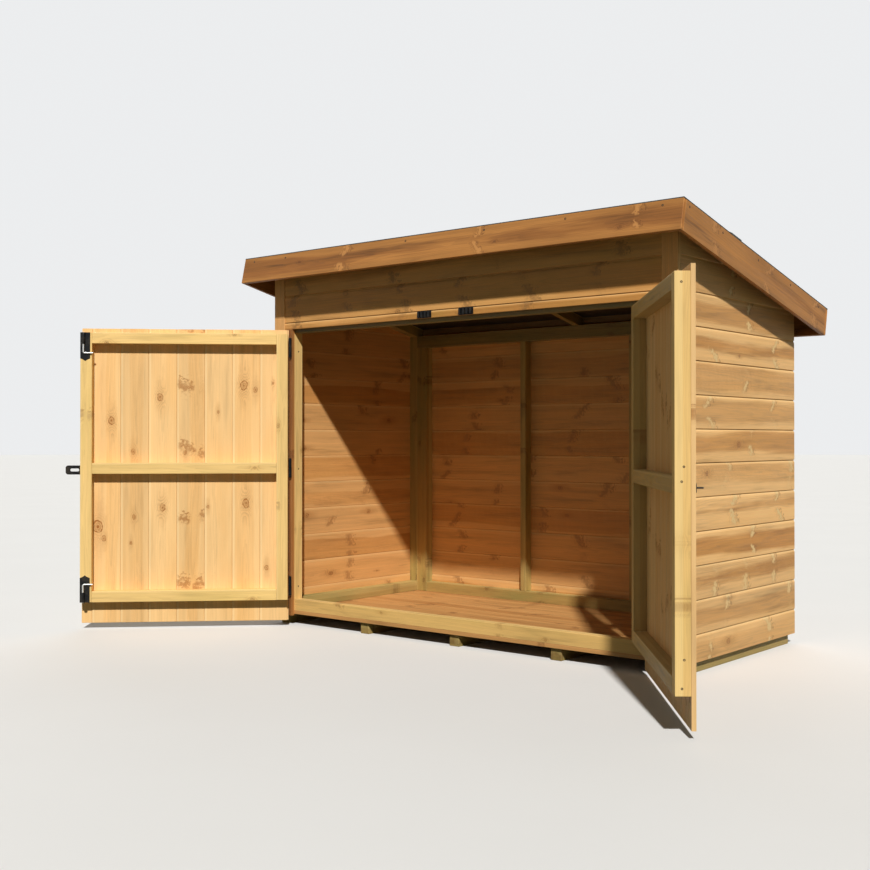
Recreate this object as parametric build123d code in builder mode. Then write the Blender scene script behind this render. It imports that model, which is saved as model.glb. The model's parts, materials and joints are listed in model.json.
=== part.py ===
from build123d import *
from math import cos, radians, sin, tan
import os

# A timber bike store with a pent roof that falls to the back and a pair of boarded doors.
# Millimetres. X runs along the front to the right, Y runs into the store, Z is up.
# The origin is the centre of the footprint, at ground level.

# Body
width = 1930.0
depth = 930.0
front_height = 1520.0
cladding = 15.0
cladding_bottom = 38.0
corner_trim_width = 60.0
corner_trim_proud = 3.0

# Floor
bearer_count = 5
bearer_width = 45.0
bearer_height = 45.0
bearer_setback = 30.0
floor_thickness = 15.0

# Framing behind the boards
batten = 45.0
back_end_post = 58.0
back_stud = 28.0
back_stud_offset = 280.0
threshold_depth = 36.0
sill_height = 48.0
header_rail_height = 45.0
rafter_count = 1
rafter_width = 28.0

# Roof
roof_angle = 12.5
roof_side_overhang = 76.0
roof_front_overhang = 99.0
roof_back_overhang = 142.5
deck_thickness = 12.0
felt_thickness = 4.0
fascia_height = 106.0
fascia_thickness = 16.0

# Doorway and doors
doorway_height = 1129.0
door_board = 13.0
door_batten_width = 47.0
door_batten_depth = 43.0
door_rail_height = 45.0
door_mid_rail_bottom = 643.0
door_ground_gap = 24.0
door_header_lap = 10.0
door_header_gap = 6.0
door_frame_top_gap = 10.0
door_frame_sill_gap = 6.0
door_to_frame_gap = 5.0
door_to_jamb_gap = 5.0
door_batten_setback = 2.0
meeting_gap = 8.0
left_open_angle = 135.0
right_open_angle = 128.0

# Door hinges
hinge_height = 80.0
hinge_leaf_width = 30.0
hinge_leaf_thickness = 2.5
hinge_knuckle_radius = 5.0
hinge_pin_radius = 2.5
hinge_pin_clearance = 0.4
hinge_knuckle_gap = 0.5
hinge_pin_inset = 2.0
hinge_pin_stand_off = 5.5
hinge_leaf_relief = 1.0
hinge_end_distance = 12.0

# Tower bolts on the left door
bolt_plate_width = 36.0
bolt_plate_length = 100.0
bolt_plate_thickness = 2.0
bolt_plate_tip = 14.0
bolt_rod_radius = 4.0
bolt_plate_clearance = 1.0
bolt_guide_clearance = 0.5
bolt_guide_wall = 3.5
upper_guide_length = 42.0
lower_guide_length = 30.0
upper_rod_length = 86.0
lower_rod_length = 72.0
bolt_rod_edge_distance = 14.0
bolt_arm_radius = 3.0
bolt_arm_reach = 40.0
bolt_nose = 3.0

# Hasp on the left door, staple on the right one
hasp_above_rail_bottom = 15.0
hasp_width = 38.0
hasp_plate_length = 50.0
hasp_thickness = 2.5
hasp_knuckle_radius = 4.2
hasp_pin_stand_off = 6.5
hasp_pin_edge_distance = 4.0
hasp_strap_length = 75.0
hasp_slot_length = 36.0
hasp_slot_width = 12.0
hasp_slot_distance = 37.5
hasp_pin_radius = 1.8
hasp_pin_clearance = 0.3
hasp_end_knuckle = 9.0
hasp_knuckle_gap = 0.5
hasp_leaf_relief = 1.0
staple_width = 24.0
staple_reach = 25.0
staple_wire = 4.0
staple_foot_width = 44.0
staple_foot_height = 26.0
staple_foot_thickness = 2.5

# Catches on the header
catch_width = 68.0
catch_height = 28.0
catch_depth = 8.0
catch_rib = 14.0
catch_rib_proud = 5.0
left_catch_offset = 124.0
right_catch_offset = 80.0

os.makedirs("parts", exist_ok=True)

SIDES = ("left", "right")
x_sign = {"left": -1.0, "right": 1.0}
open_angle = {"left": left_open_angle, "right": right_open_angle}
catch_offset = {"left": left_catch_offset, "right": right_catch_offset}
guide_length = {"upper": upper_guide_length, "lower": lower_guide_length}
rod_length = {"upper": upper_rod_length, "lower": lower_rod_length}
pitch = radians(roof_angle)
front = -depth / 2
back = depth / 2
side_face = width / 2
floor_top = bearer_height + floor_thickness
sill_top = floor_top + sill_height
header_rail_bottom = sill_top + doorway_height
door_top = header_rail_bottom + door_header_lap
header_bottom = door_top + door_header_gap
frame_front = front + corner_trim_proud + cladding
jamb_board_front = front + corner_trim_proud
post_inset = cladding + batten
jamb_inset = cladding + 2 * batten
batten_back = back - cladding


def deck_underside(y):
    """Height of the roof deck's underside at y."""
    return front_height - (y - front) * tan(pitch)


def in_from(side, start, end):
    """The range of x that lies from start to end inside the outer face of one side."""
    values = (x_sign[side] * (side_face - start), x_sign[side] * (side_face - end))
    return min(values), max(values)


def bar(x, y, z):
    """Adds a square-edged timber that fills the ranges x, y and z."""
    with Locations(((x[0] + x[1]) / 2, (y[0] + y[1]) / 2, (z[0] + z[1]) / 2)):
        Box(x[1] - x[0], y[1] - y[0], z[1] - z[0])


def under_roof(x, y, bottom, drop=0.0):
    """Adds a piece that stands on bottom and is cut to the roof's slope, drop below the deck."""
    with BuildSketch(Plane.YZ.offset(x[0])) as outline:
        with BuildLine():
            Polyline(
                (y[0], bottom),
                (y[1], bottom),
                (y[1], deck_underside(y[1]) - drop),
                (y[0], deck_underside(y[0]) - drop),
                close=True,
            )
        make_face()
    extrude(outline.sketch, amount=x[1] - x[0])


def sloping_rail(x, y, height):
    """Adds a rail that lies along the slope, right under the deck."""
    drop = height / cos(pitch)
    with BuildSketch(Plane.YZ.offset(x[0])) as outline:
        with BuildLine():
            Polyline(
                (y[0], deck_underside(y[0]) - drop),
                (y[1], deck_underside(y[1]) - drop),
                (y[1], deck_underside(y[1])),
                (y[0], deck_underside(y[0])),
                close=True,
            )
        make_face()
    extrude(outline.sketch, amount=x[1] - x[0])


def save(piece, name):
    """Labels a finished piece and writes its file."""
    piece.part.label = name
    export_step(piece.part, f"parts/{name}.step")


# Floor on five bearers
with BuildPart() as bearers:
    first_bearer = side_face - cladding - bearer_width / 2
    bearer_step = 2 * first_bearer / (bearer_count - 1)
    for i in range(bearer_count):
        centre = -first_bearer + i * bearer_step
        bar(
            (centre - bearer_width / 2, centre + bearer_width / 2),
            (front + bearer_setback, back - bearer_setback),
            (0, bearer_height),
        )
save(bearers, "bearers")

with BuildPart() as floor_deck:
    inner_side = side_face - cladding
    bar((-inner_side, inner_side), (frame_front, batten_back), (bearer_height, floor_top))
save(floor_deck, "floor_deck")

# Side walls: cladding, posts, rails and the trim at the front corner
side_rail_drop = batten / cos(pitch)
for side in SIDES:
    with BuildPart() as wall:
        under_roof(in_from(side, 0, cladding), (frame_front, back), cladding_bottom)
    save(wall, f"{side}_wall")

    with BuildPart() as trim:
        under_roof(in_from(side, 0, corner_trim_width), (front, frame_front), cladding_bottom)
    save(trim, f"{side}_corner_trim")

    with BuildPart() as side_posts:
        for y in ((frame_front, frame_front + batten), (batten_back - batten, batten_back)):
            under_roof(in_from(side, cladding, post_inset), y, floor_top, side_rail_drop)
    save(side_posts, f"{side}_wall_posts")

    with BuildPart() as side_rails:
        sloping_rail(in_from(side, cladding, post_inset), (frame_front, batten_back), batten)
        bar(
            in_from(side, cladding, post_inset),
            (frame_front + batten, batten_back - batten),
            (floor_top, floor_top + batten),
        )
    save(side_rails, f"{side}_wall_rails")

# Back wall
back_span = side_face - post_inset
back_rail_y = (batten_back - batten, batten_back)
with BuildPart() as back_wall:
    under_roof((cladding - side_face, side_face - cladding), (batten_back, back), cladding_bottom)
save(back_wall, "back_wall")

# The rafter lies on the top rail, so the rail is one batten below the deck
back_top_rail_bottom = deck_underside(batten_back) - side_rail_drop - batten
with BuildPart() as back_rails:
    under_roof((-back_span, back_span), back_rail_y, back_top_rail_bottom, side_rail_drop)
    inner = back_span - back_end_post
    bar((-inner, inner), back_rail_y, (floor_top, floor_top + batten))
save(back_rails, "back_wall_rails")

with BuildPart() as back_posts:
    for side in SIDES:
        bar(
            in_from(side, post_inset, post_inset + back_end_post),
            back_rail_y,
            (floor_top, back_top_rail_bottom),
        )
        centre = x_sign[side] * back_stud_offset
        bar(
            (centre - back_stud / 2, centre + back_stud / 2),
            back_rail_y,
            (floor_top + batten, back_top_rail_bottom),
        )
save(back_posts, "back_wall_posts")

# Front wall around the doorway
header_half = side_face - corner_trim_width
with BuildPart() as front_header:
    under_roof((-header_half, header_half), (jamb_board_front, frame_front), header_bottom)
save(front_header, "front_header")

top_rail_bottom = deck_underside(frame_front + batten) - batten
for side in SIDES:
    with BuildPart() as jamb_post:
        bar(
            in_from(side, post_inset, jamb_inset),
            (frame_front, frame_front + batten),
            (floor_top, top_rail_bottom),
        )
    save(jamb_post, f"{side}_jamb_post")

    with BuildPart() as jamb_board:
        bar(
            in_from(side, corner_trim_width, jamb_inset),
            (jamb_board_front, frame_front),
            (cladding_bottom, header_bottom),
        )
    save(jamb_board, f"{side}_jamb_board")

with BuildPart() as front_top_rail:
    under_roof((-back_span, back_span), (frame_front, frame_front + batten), top_rail_bottom)
save(front_top_rail, "front_top_rail")

doorway_half = side_face - jamb_inset
with BuildPart() as header_rail:
    bar(
        (-doorway_half, doorway_half),
        (frame_front, frame_front + threshold_depth),
        (header_rail_bottom, header_rail_bottom + header_rail_height),
    )
save(header_rail, "header_rail")

with BuildPart() as sill:
    bar((-doorway_half, doorway_half), (frame_front, frame_front + threshold_depth), (floor_top, sill_top))
save(sill, "sill")

with BuildPart() as catches:
    for side in SIDES:
        centre = x_sign[side] * catch_offset[side]
        bar(
            (centre - catch_width / 2, centre + catch_width / 2),
            (jamb_board_front - catch_depth, jamb_board_front),
            (header_bottom, header_bottom + catch_height),
        )
        for rib in (-1, 1):
            rib_centre = centre + rib * (catch_width - catch_rib) / 2
            bar(
                (rib_centre - catch_rib / 2, rib_centre + catch_rib / 2),
                (jamb_board_front - catch_depth - catch_rib_proud, jamb_board_front - catch_depth),
                (header_bottom, header_bottom + catch_height),
            )
save(catches, "header_catches")

# Roof, laid out on its own sloping plane: x along the front, y down the slope, z out of the roof
roof_front = front - roof_front_overhang
roof_plane = Plane(
    origin=(0, roof_front, deck_underside(roof_front) + deck_thickness / cos(pitch)),
    x_dir=(1, 0, 0),
    z_dir=(0, sin(pitch), cos(pitch)),
)
roof_half = side_face + roof_side_overhang
roof_slope_length = (roof_front_overhang + depth + roof_back_overhang) / cos(pitch)


def roof_board(x, y, z):
    """Adds a board that fills the ranges x, y and z of the roof's own plane."""
    with BuildSketch(roof_plane.offset(z[0])) as outline:
        with Locations(((x[0] + x[1]) / 2, (y[0] + y[1]) / 2)):
            Rectangle(x[1] - x[0], y[1] - y[0])
    extrude(outline.sketch, amount=z[1] - z[0])


deck_half = roof_half - fascia_thickness
fascia_z = (-fascia_height, 0)
deck_y = (fascia_thickness, roof_slope_length - fascia_thickness)
with BuildPart() as roof_deck:
    roof_board((-deck_half, deck_half), deck_y, (-deck_thickness, 0))
save(roof_deck, "roof_deck")

with BuildPart() as roof_felt:
    roof_board((-roof_half, roof_half), (0, roof_slope_length), (0, felt_thickness))
save(roof_felt, "roof_felt")

with BuildPart() as front_fascia:
    roof_board((-roof_half, roof_half), (0, fascia_thickness), fascia_z)
save(front_fascia, "front_fascia")

with BuildPart() as rear_fascia:
    roof_board((-roof_half, roof_half), (roof_slope_length - fascia_thickness, roof_slope_length), fascia_z)
save(rear_fascia, "rear_fascia")

for side in SIDES:
    with BuildPart() as side_fascia:
        edges_x = sorted((x_sign[side] * deck_half, x_sign[side] * roof_half))
        roof_board(edges_x, deck_y, fascia_z)
    save(side_fascia, f"{side}_fascia")

with BuildPart() as rafters:
    rafter_step = 2 * back_span / (rafter_count + 1)
    for i in range(rafter_count):
        centre = -back_span + (i + 1) * rafter_step
        rafter_x = (centre - rafter_width / 2, centre + rafter_width / 2)
        sloping_rail(rafter_x, (frame_front + batten, batten_back), batten)
save(rafters, "rafters")

# Doors, laid out on a plane at each hinge pin.
# Along the plane's x (u) lies the leaf, from the pin to its free edge, and w is the distance from the
# pin towards the inside of a closed store. The plane is turned to the angle at which the door stands.
pin_x = side_face - jamb_inset + hinge_pin_inset
door_face_w = hinge_pin_stand_off
batten_w = (door_face_w + door_board, door_face_w + door_board + door_batten_depth)
door_face_y = frame_front - door_to_frame_gap - door_board
pin_y = door_face_y - hinge_pin_stand_off
leaf_start = hinge_pin_inset + door_to_jamb_gap
leaf_end = pin_x - meeting_gap / 2
frame_start = leaf_start + door_batten_setback
frame_bottom = sill_top + door_frame_sill_gap
frame_top = header_rail_bottom - door_frame_top_gap
hinge_bottoms = (
    frame_bottom + hinge_end_distance,
    door_mid_rail_bottom + (door_rail_height - hinge_height) / 2,
    frame_top - hinge_end_distance - hinge_height,
)


def leaf_plane(side):
    """The plane of a door: its origin on the hinge pin at ground level, its x along the leaf."""
    turn = radians(open_angle[side])
    return Plane(
        origin=(x_sign[side] * pin_x, pin_y, 0),
        x_dir=(-x_sign[side] * cos(turn), -sin(turn), 0),
        z_dir=(0, 0, 1),
    )


def leaf_bar(side, u, w, z, mode=Mode.ADD):
    """Adds or cuts a straight piece of a door that fills the ranges u, w and z."""
    with BuildSketch(leaf_plane(side).offset(z[0])) as section:
        with Locations(((u[0] + u[1]) / 2, -x_sign[side] * (w[0] + w[1]) / 2)):
            Rectangle(u[1] - u[0], w[1] - w[0])
    extrude(section.sketch, amount=z[1] - z[0], mode=mode)


def leaf_rod(side, u, w, z, radius, mode=Mode.ADD):
    """Adds or cuts an upright round rod of a door at u, w over the range z."""
    with BuildSketch(leaf_plane(side).offset(z[0])) as section:
        with Locations((u, -x_sign[side] * w)):
            Circle(radius)
    extrude(section.sketch, amount=z[1] - z[0], mode=mode)


def pin_cylinder(side, z, radius, mode=Mode.ADD):
    """Adds or cuts a cylinder about a door's hinge pin over the range z."""
    with BuildSketch(Plane.XY.offset(z[0])) as section:
        with Locations((x_sign[side] * pin_x, pin_y)):
            Circle(radius)
    extrude(section.sketch, amount=z[1] - z[0], mode=mode)


leaf_relief = hinge_knuckle_radius + hinge_leaf_relief
bore_radius = hinge_pin_radius + hinge_pin_clearance
for side in SIDES:
    with BuildPart() as boards:
        leaf_bar(side, (leaf_start, leaf_end), (door_face_w, batten_w[0]), (door_ground_gap, door_top))
    save(boards, f"{side}_door_boards")

    with BuildPart() as stiles:
        leaf_bar(side, (frame_start, frame_start + door_batten_width), batten_w, (frame_bottom, frame_top))
        leaf_bar(side, (leaf_end - door_batten_width, leaf_end), batten_w, (frame_bottom, frame_top))
    save(stiles, f"{side}_door_stiles")

    with BuildPart() as rails:
        for bottom in (frame_bottom, door_mid_rail_bottom, frame_top - door_rail_height):
            leaf_bar(
                side,
                (frame_start + door_batten_width, leaf_end - door_batten_width),
                batten_w,
                (bottom, bottom + door_rail_height),
            )
    save(rails, f"{side}_door_rails")

    # The jamb's leaf of each hinge carries the lower knuckle, stepped out from the jamb board
    pin_inset = side_face - pin_x
    with BuildPart() as jamb_hinges:
        for bottom in hinge_bottoms:
            knuckle_z = (bottom, bottom + (hinge_height - hinge_knuckle_gap) / 2)
            bar(
                in_from(side, pin_inset - hinge_leaf_width, pin_inset - leaf_relief),
                (jamb_board_front - hinge_leaf_thickness, jamb_board_front),
                (bottom, bottom + hinge_height),
            )
            bar(in_from(side, pin_inset - leaf_relief, pin_inset), (pin_y, jamb_board_front), knuckle_z)
            pin_cylinder(side, knuckle_z, hinge_knuckle_radius)
            pin_cylinder(side, knuckle_z, bore_radius, Mode.SUBTRACT)
    save(jamb_hinges, f"{side}_jamb_hinges")

    # The door's leaf carries the upper knuckle and the pin that runs down through the lower one
    with BuildPart() as door_hinges:
        plate_w = (door_face_w - hinge_leaf_thickness, door_face_w)
        for bottom in hinge_bottoms:
            knuckle_z = (bottom + (hinge_height + hinge_knuckle_gap) / 2, bottom + hinge_height)
            leaf_bar(side, (leaf_relief, hinge_leaf_width), plate_w, (bottom, bottom + hinge_height))
            leaf_bar(side, (0, leaf_relief), (0, door_face_w), knuckle_z)
            pin_cylinder(side, knuckle_z, hinge_knuckle_radius)
            pin_cylinder(side, (bottom, knuckle_z[1]), hinge_pin_radius)
    save(door_hinges, f"{side}_door_hinges")

# Tower bolts: plate with its guide barrel, and the sliding rod with its cranked arm
bolt_u = leaf_end - bolt_rod_edge_distance
plate_u = (leaf_end - bolt_plate_width, leaf_end)
plate_w = (batten_w[1], batten_w[1] + bolt_plate_thickness)
rod_w = plate_w[1] + bolt_plate_clearance + bolt_rod_radius
guide_half = bolt_rod_radius + bolt_guide_clearance + bolt_guide_wall


def bolt_span(position, length, offset=0.0):
    """The range of z of a piece of that length, counted in from the end of a bolt's plate."""
    if position == "upper":
        return frame_top - offset - length, frame_top - offset
    return frame_bottom + offset, frame_bottom + offset + length


with BuildPart() as bolt_guides:
    for position in ("upper", "lower"):
        plate_z = bolt_span(position, bolt_plate_length - bolt_plate_tip)
        leaf_bar("left", plate_u, plate_w, plate_z)
        tip_start, tip_end = (plate_z[0], plate_z[0] - bolt_plate_tip)
        if position == "lower":
            tip_start, tip_end = (plate_z[1], plate_z[1] + bolt_plate_tip)
        plate_middle = (plate_u[0] + plate_u[1]) / 2
        door_plane = leaf_plane("left")
        with BuildSketch(
            Plane(
                origin=door_plane.from_local_coords((0, plate_w[0], 0)),
                x_dir=door_plane.x_dir,
                z_dir=-door_plane.y_dir,
            )
        ):
            with BuildLine():
                Polyline(
                    (plate_u[0], tip_start),
                    (plate_u[1], tip_start),
                    (plate_middle, tip_end),
                    close=True,
                )
            make_face()
        extrude(amount=-bolt_plate_thickness)
        guide_u = (bolt_u - guide_half, bolt_u + guide_half)
        guide_z = bolt_span(position, guide_length[position])
        leaf_bar("left", guide_u, (plate_w[1], rod_w + guide_half), guide_z)
        leaf_rod("left", bolt_u, rod_w, guide_z, bolt_rod_radius + bolt_guide_clearance, Mode.SUBTRACT)
save(bolt_guides, "left_door_bolt_guides")

for position in ("upper", "lower"):
    with BuildPart() as bolt:
        rod_z = bolt_span(position, rod_length[position], -bolt_nose)
        leaf_rod("left", bolt_u, rod_w, rod_z, bolt_rod_radius)
        arm_z = rod_z[0] + bolt_rod_radius
        if position == "lower":
            arm_z = rod_z[1] - bolt_rod_radius
        arm_start = leaf_plane("left").from_local_coords((bolt_u, rod_w, arm_z))
        with BuildSketch(Plane(origin=arm_start, x_dir=(0, 0, 1), z_dir=-leaf_plane("left").x_dir)):
            Circle(bolt_arm_radius)
        extrude(amount=bolt_arm_reach)
    save(bolt, f"{position}_bolt")

# Hasp: a plate fixed near the left door's free edge, and a slotted strap that swings on it
hasp_height = door_mid_rail_bottom + hasp_above_rail_bottom
hasp_u = leaf_end - hasp_pin_edge_distance
hasp_w = door_face_w - hasp_pin_stand_off
hasp_z = (hasp_height - hasp_width / 2, hasp_height + hasp_width / 2)
hasp_relief = hasp_knuckle_radius + hasp_leaf_relief
strap_w = (hasp_w - hasp_thickness / 2, hasp_w + hasp_thickness / 2)
end_knuckles = (
    (hasp_z[0], hasp_z[0] + hasp_end_knuckle),
    (hasp_z[1] - hasp_end_knuckle, hasp_z[1]),
)
middle_knuckle = (end_knuckles[0][1] + hasp_knuckle_gap, end_knuckles[1][0] - hasp_knuckle_gap)
with BuildPart() as hasp_plate:
    fixed_w = (door_face_w - hasp_thickness, door_face_w)
    leaf_bar("left", (hasp_u - hasp_relief - hasp_plate_length, hasp_u - hasp_relief), fixed_w, hasp_z)
    for z in end_knuckles:
        leaf_bar("left", (hasp_u - hasp_relief, hasp_u), (hasp_w, door_face_w), z)
        leaf_rod("left", hasp_u, hasp_w, z, hasp_knuckle_radius)
    leaf_rod("left", hasp_u, hasp_w, hasp_z, hasp_pin_radius)
save(hasp_plate, "hasp_plate")

slot_u = (
    hasp_u + hasp_slot_distance - hasp_slot_length / 2,
    hasp_u + hasp_slot_distance + hasp_slot_length / 2,
)
slot_z = (hasp_height - hasp_slot_width / 2, hasp_height + hasp_slot_width / 2)
with BuildPart() as hasp_strap:
    leaf_bar("left", (hasp_u + hasp_relief, hasp_u + hasp_strap_length), strap_w, hasp_z)
    leaf_bar("left", (hasp_u, hasp_u + hasp_relief), strap_w, middle_knuckle)
    leaf_rod("left", hasp_u, hasp_w, middle_knuckle, hasp_knuckle_radius)
    leaf_rod("left", hasp_u, hasp_w, middle_knuckle, hasp_pin_radius + hasp_pin_clearance, Mode.SUBTRACT)
    leaf_bar("left", slot_u, strap_w, slot_z, Mode.SUBTRACT)
save(hasp_strap, "hasp_strap")

# The staple stands where the slot lies when both doors are shut
staple_u = 2 * pin_x - (slot_u[0] + slot_u[1]) / 2
with BuildPart() as staple:
    foot_w = (door_face_w - staple_foot_thickness, door_face_w)
    foot_z = (hasp_height - staple_foot_height / 2, hasp_height + staple_foot_height / 2)
    wire_z = (hasp_height - staple_wire / 2, hasp_height + staple_wire / 2)
    outer = door_face_w - staple_reach
    foot_u = (staple_u - staple_foot_width / 2, staple_u + staple_foot_width / 2)
    leaf_bar("right", foot_u, foot_w, foot_z)
    loop_u = (staple_u - staple_width / 2, staple_u + staple_width / 2)
    leaf_bar("right", loop_u, (outer, outer + staple_wire), wire_z)
    for edge in (-1, 1):
        leg = staple_u + edge * (staple_width - staple_wire) / 2
        leaf_bar("right", (leg - staple_wire / 2, leg + staple_wire / 2), (outer, foot_w[0]), wire_z)
save(staple, "staple")
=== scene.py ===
# %% [markdown]
# # A timber bike store, dressed board by board
#
# The construction comes as plain solids: walls, floor, roof and door leaves as slabs, battens as bars.
# On the real store each slab is a row of boards nailed side by side. This lesson cuts the slabs into
# those boards, lets every piece of timber have its own grain and knots, and then adds the roofing felt,
# the ironmongery, nails, screws, light and a camera. All sizes are in metres and come from the frame
# wherever it holds them.

# %% Load the construction
import json
import math
from collections import namedtuple
from functools import partialmethod

import bpy
import numpy as np
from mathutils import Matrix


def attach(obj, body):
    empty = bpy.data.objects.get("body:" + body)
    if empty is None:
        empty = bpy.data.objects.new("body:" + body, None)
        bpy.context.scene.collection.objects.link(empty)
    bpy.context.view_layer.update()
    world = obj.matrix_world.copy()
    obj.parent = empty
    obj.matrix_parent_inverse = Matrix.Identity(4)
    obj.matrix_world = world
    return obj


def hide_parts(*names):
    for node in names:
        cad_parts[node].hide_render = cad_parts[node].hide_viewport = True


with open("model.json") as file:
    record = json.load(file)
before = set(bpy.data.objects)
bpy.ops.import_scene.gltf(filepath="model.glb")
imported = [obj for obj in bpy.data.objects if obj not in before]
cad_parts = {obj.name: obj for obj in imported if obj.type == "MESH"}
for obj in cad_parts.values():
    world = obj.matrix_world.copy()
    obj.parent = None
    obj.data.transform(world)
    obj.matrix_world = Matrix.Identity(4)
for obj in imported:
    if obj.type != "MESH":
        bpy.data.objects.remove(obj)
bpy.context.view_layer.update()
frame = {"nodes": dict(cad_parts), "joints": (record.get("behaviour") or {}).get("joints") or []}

# %% [markdown]
# ## Places to work in
#
# A joiner lays a door flat on the bench and a roof on its own slope. A place does the same here: it is
# an origin and three axes, so a board can be worked out square and then set where it belongs. The
# sheared place keeps y and z upright but counts heights from the slope of the roof, because the side
# walls' top rails and the rafter are cut with upright ends along that slope.

# %% Places
Place = namedtuple("Place", "origin axes")
Solid = namedtuple("Solid", "low high roofline")


def to_world(place, points):
    """A point (a, b, c) lies at the place's origin plus a, b and c times its three axes."""
    return place.origin + points @ place.axes


def to_place(place, points):
    """The inverse of to_world: the distance from the origin, divided among the axes."""
    return (points - place.origin) @ np.linalg.inv(place.axes)


def cad_mesh(node):
    """Points and triangles of a node of the construction, as two arrays."""
    mesh = frame["nodes"][node].data
    points = np.empty(len(mesh.vertices) * 3, np.float32)
    mesh.vertices.foreach_get("co", points)
    mesh.calc_loop_triangles()
    corners = np.empty(len(mesh.loop_triangles) * 3, np.int32)
    mesh.loop_triangles.foreach_get("vertices", corners)
    return points.reshape(-1, 3).astype(float), corners.reshape(-1, 3)


felt_points, felt_corners = cad_mesh("roof_felt")
first, second, third = (felt_points[felt_corners[:, i]] for i in range(3))
felt_normals = np.cross(second - first, third - first)
roof_normal = felt_normals[np.argmax(np.linalg.norm(felt_normals, axis=1))]
slope = math.atan(abs(roof_normal[1] / roof_normal[2]))

STORE = Place(np.zeros(3), np.eye(3))
down_roof = [0, math.cos(slope), -math.sin(slope)]
off_roof = [0, math.sin(slope), math.cos(slope)]
ROOF = Place(np.zeros(3), np.array([[1, 0, 0], down_roof, off_roof]))
SHEARED = Place(np.zeros(3), np.array([[1, 0, 0], [0, 1, -math.tan(slope)], [0, 0, 1]]))
SIDES = {"left": -1, "right": 1}
DOOR = {}
for joint in frame["joints"]:
    side = joint["name"].split("_")[0]
    if side not in SIDES:
        continue
    turn = math.radians(-joint["range_deg"][0])
    leaf = [-SIDES[side] * math.cos(turn), -math.sin(turn), 0]
    inwards = [-SIDES[side] * math.sin(turn), math.cos(turn), 0]
    DOOR[side] = Place(np.array(joint["pos_m"]), np.array([leaf, inwards, [0, 0, 1]]))
print("roof slope", round(math.degrees(slope), 2), "degrees")
print("the doors hinge at", [place.origin for place in DOOR.values()])

# %% [markdown]
# ## Measuring the solids
#
# One node can hold several bars, such as the three rails of a door. They are told apart by letting a
# label spread through each mesh from triangle to triangle. Each bar then gives its box along the axes
# of the place that it is measured in, and the height of its top above the roof's slope.

# %% Measure


def solids(node, place=STORE):
    """Boxes of a node's separate solids. Points that share a triangle take the lowest label among them,
    again and again, until nothing changes; what carries one label is one solid."""
    points, corners = cad_mesh(node)
    places, joined = np.unique(np.round(points * 1e5), axis=0, return_inverse=True)
    triangles = joined.reshape(-1)[corners]
    label = np.arange(len(places))
    settled = False
    while not settled:
        spread = label.copy()
        np.minimum.at(spread, triangles, label[triangles].min(axis=1)[:, None])
        settled = bool((spread == label).all())
        label = spread
    owner = label[joined.reshape(-1)]
    local, above_slope = to_place(place, points), to_place(SHEARED, points)[:, 2]
    found = []
    for mark in np.unique(owner):
        own = owner == mark
        found.append(Solid(local[own].min(axis=0), local[own].max(axis=0), above_slope[own].max()))
    return sorted(found, key=lambda s: tuple(np.round(s.low, 4)))


def whole(node, place=STORE):
    """The box of a node that is one solid."""
    return solids(node, place)[0]


print("door rails, along the leaf:", [np.round(s.low[2], 3) for s in solids("left_door_rails", DOOR["left"])])

# %% [markdown]
# ## Sections of timber
#
# Battens are planed square with their arrises eased. Wall and door boards are shiplap: the upper edge of
# each board is hollowed on its face and runs up behind the lip of the next one, which throws a thin
# shadow line over a bright hollow. A section is a closed outline of points across (b) and through (c)
# the timber, and cutting a board down its length cuts its outline.

# %% Sections
board_cover = 0.115
hollow_height = 0.012
hollow_depth = 0.0042
lip_overlap = 0.007
joint_gap = 0.0004
face_bevel = 0.0006
back_chamfer = 0.0017


def squared(width, depth, radius, steps=3):
    """Rectangle with round corners: each corner is a quarter circle of its radius about a centre that
    lies one radius inside both sides. One radius may be given for all corners, or one for each."""
    radii = np.broadcast_to(radius, 4)[:, None]
    turn = np.arange(4)[:, None] * np.pi / 2 + np.linspace(0, np.pi / 2, steps)
    signs = np.array([[1, 1], [-1, 1], [-1, -1], [1, -1]])
    centres = signs * (np.array([width, depth]) / 2 - radii)
    circle = radii[..., None] * np.stack([np.cos(turn), np.sin(turn)], axis=-1)
    return (centres[:, None] + circle).reshape(-1, 2)


def shiplap(depth):
    """Shiplap outline, centred on its cover. The hollow falls away from the face as the distance up it to
    the power 1.5; tongue and lip share the depth of the board between them."""
    face, back, split = depth / 2, -depth / 2, depth * 0.05
    tongue = board_cover + lip_overlap - joint_gap
    climb = np.linspace(0, 1, 5)
    hollow = np.stack([board_cover - hollow_height * (1 - climb), face - hollow_depth * climb**1.5], axis=-1)
    points = [
        (joint_gap, split),
        (joint_gap, face - face_bevel),
        (joint_gap + face_bevel, face),
        *hollow,
        (board_cover, split - joint_gap),
        (tongue, split - joint_gap),
        (tongue, back + back_chamfer),
        (tongue - back_chamfer, back),
        (lip_overlap + back_chamfer, back),
        (lip_overlap, back + back_chamfer),
        (lip_overlap, split),
    ]
    return np.array(points) - (board_cover / 2, 0)


def ripped(outline, limit, keep):
    """Cuts an outline straight at b = limit and keeps the side above (1) or below (-1) it. Each edge that
    crosses the cut gives one new point, found by its share of the way across."""
    kept = []
    for here, there in zip(outline, np.roll(outline, -1, axis=0)):
        inside, next_inside = (keep * (p[0] - limit) >= 0 for p in (here, there))
        if inside:
            kept.append(here)
        if inside != next_inside:
            share = (limit - here[0]) / (there[0] - here[0])
            kept.append(here + share * (there - here))
    return np.array(kept)


print("shiplap outline has", len(shiplap(0.015)), "points")

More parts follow.
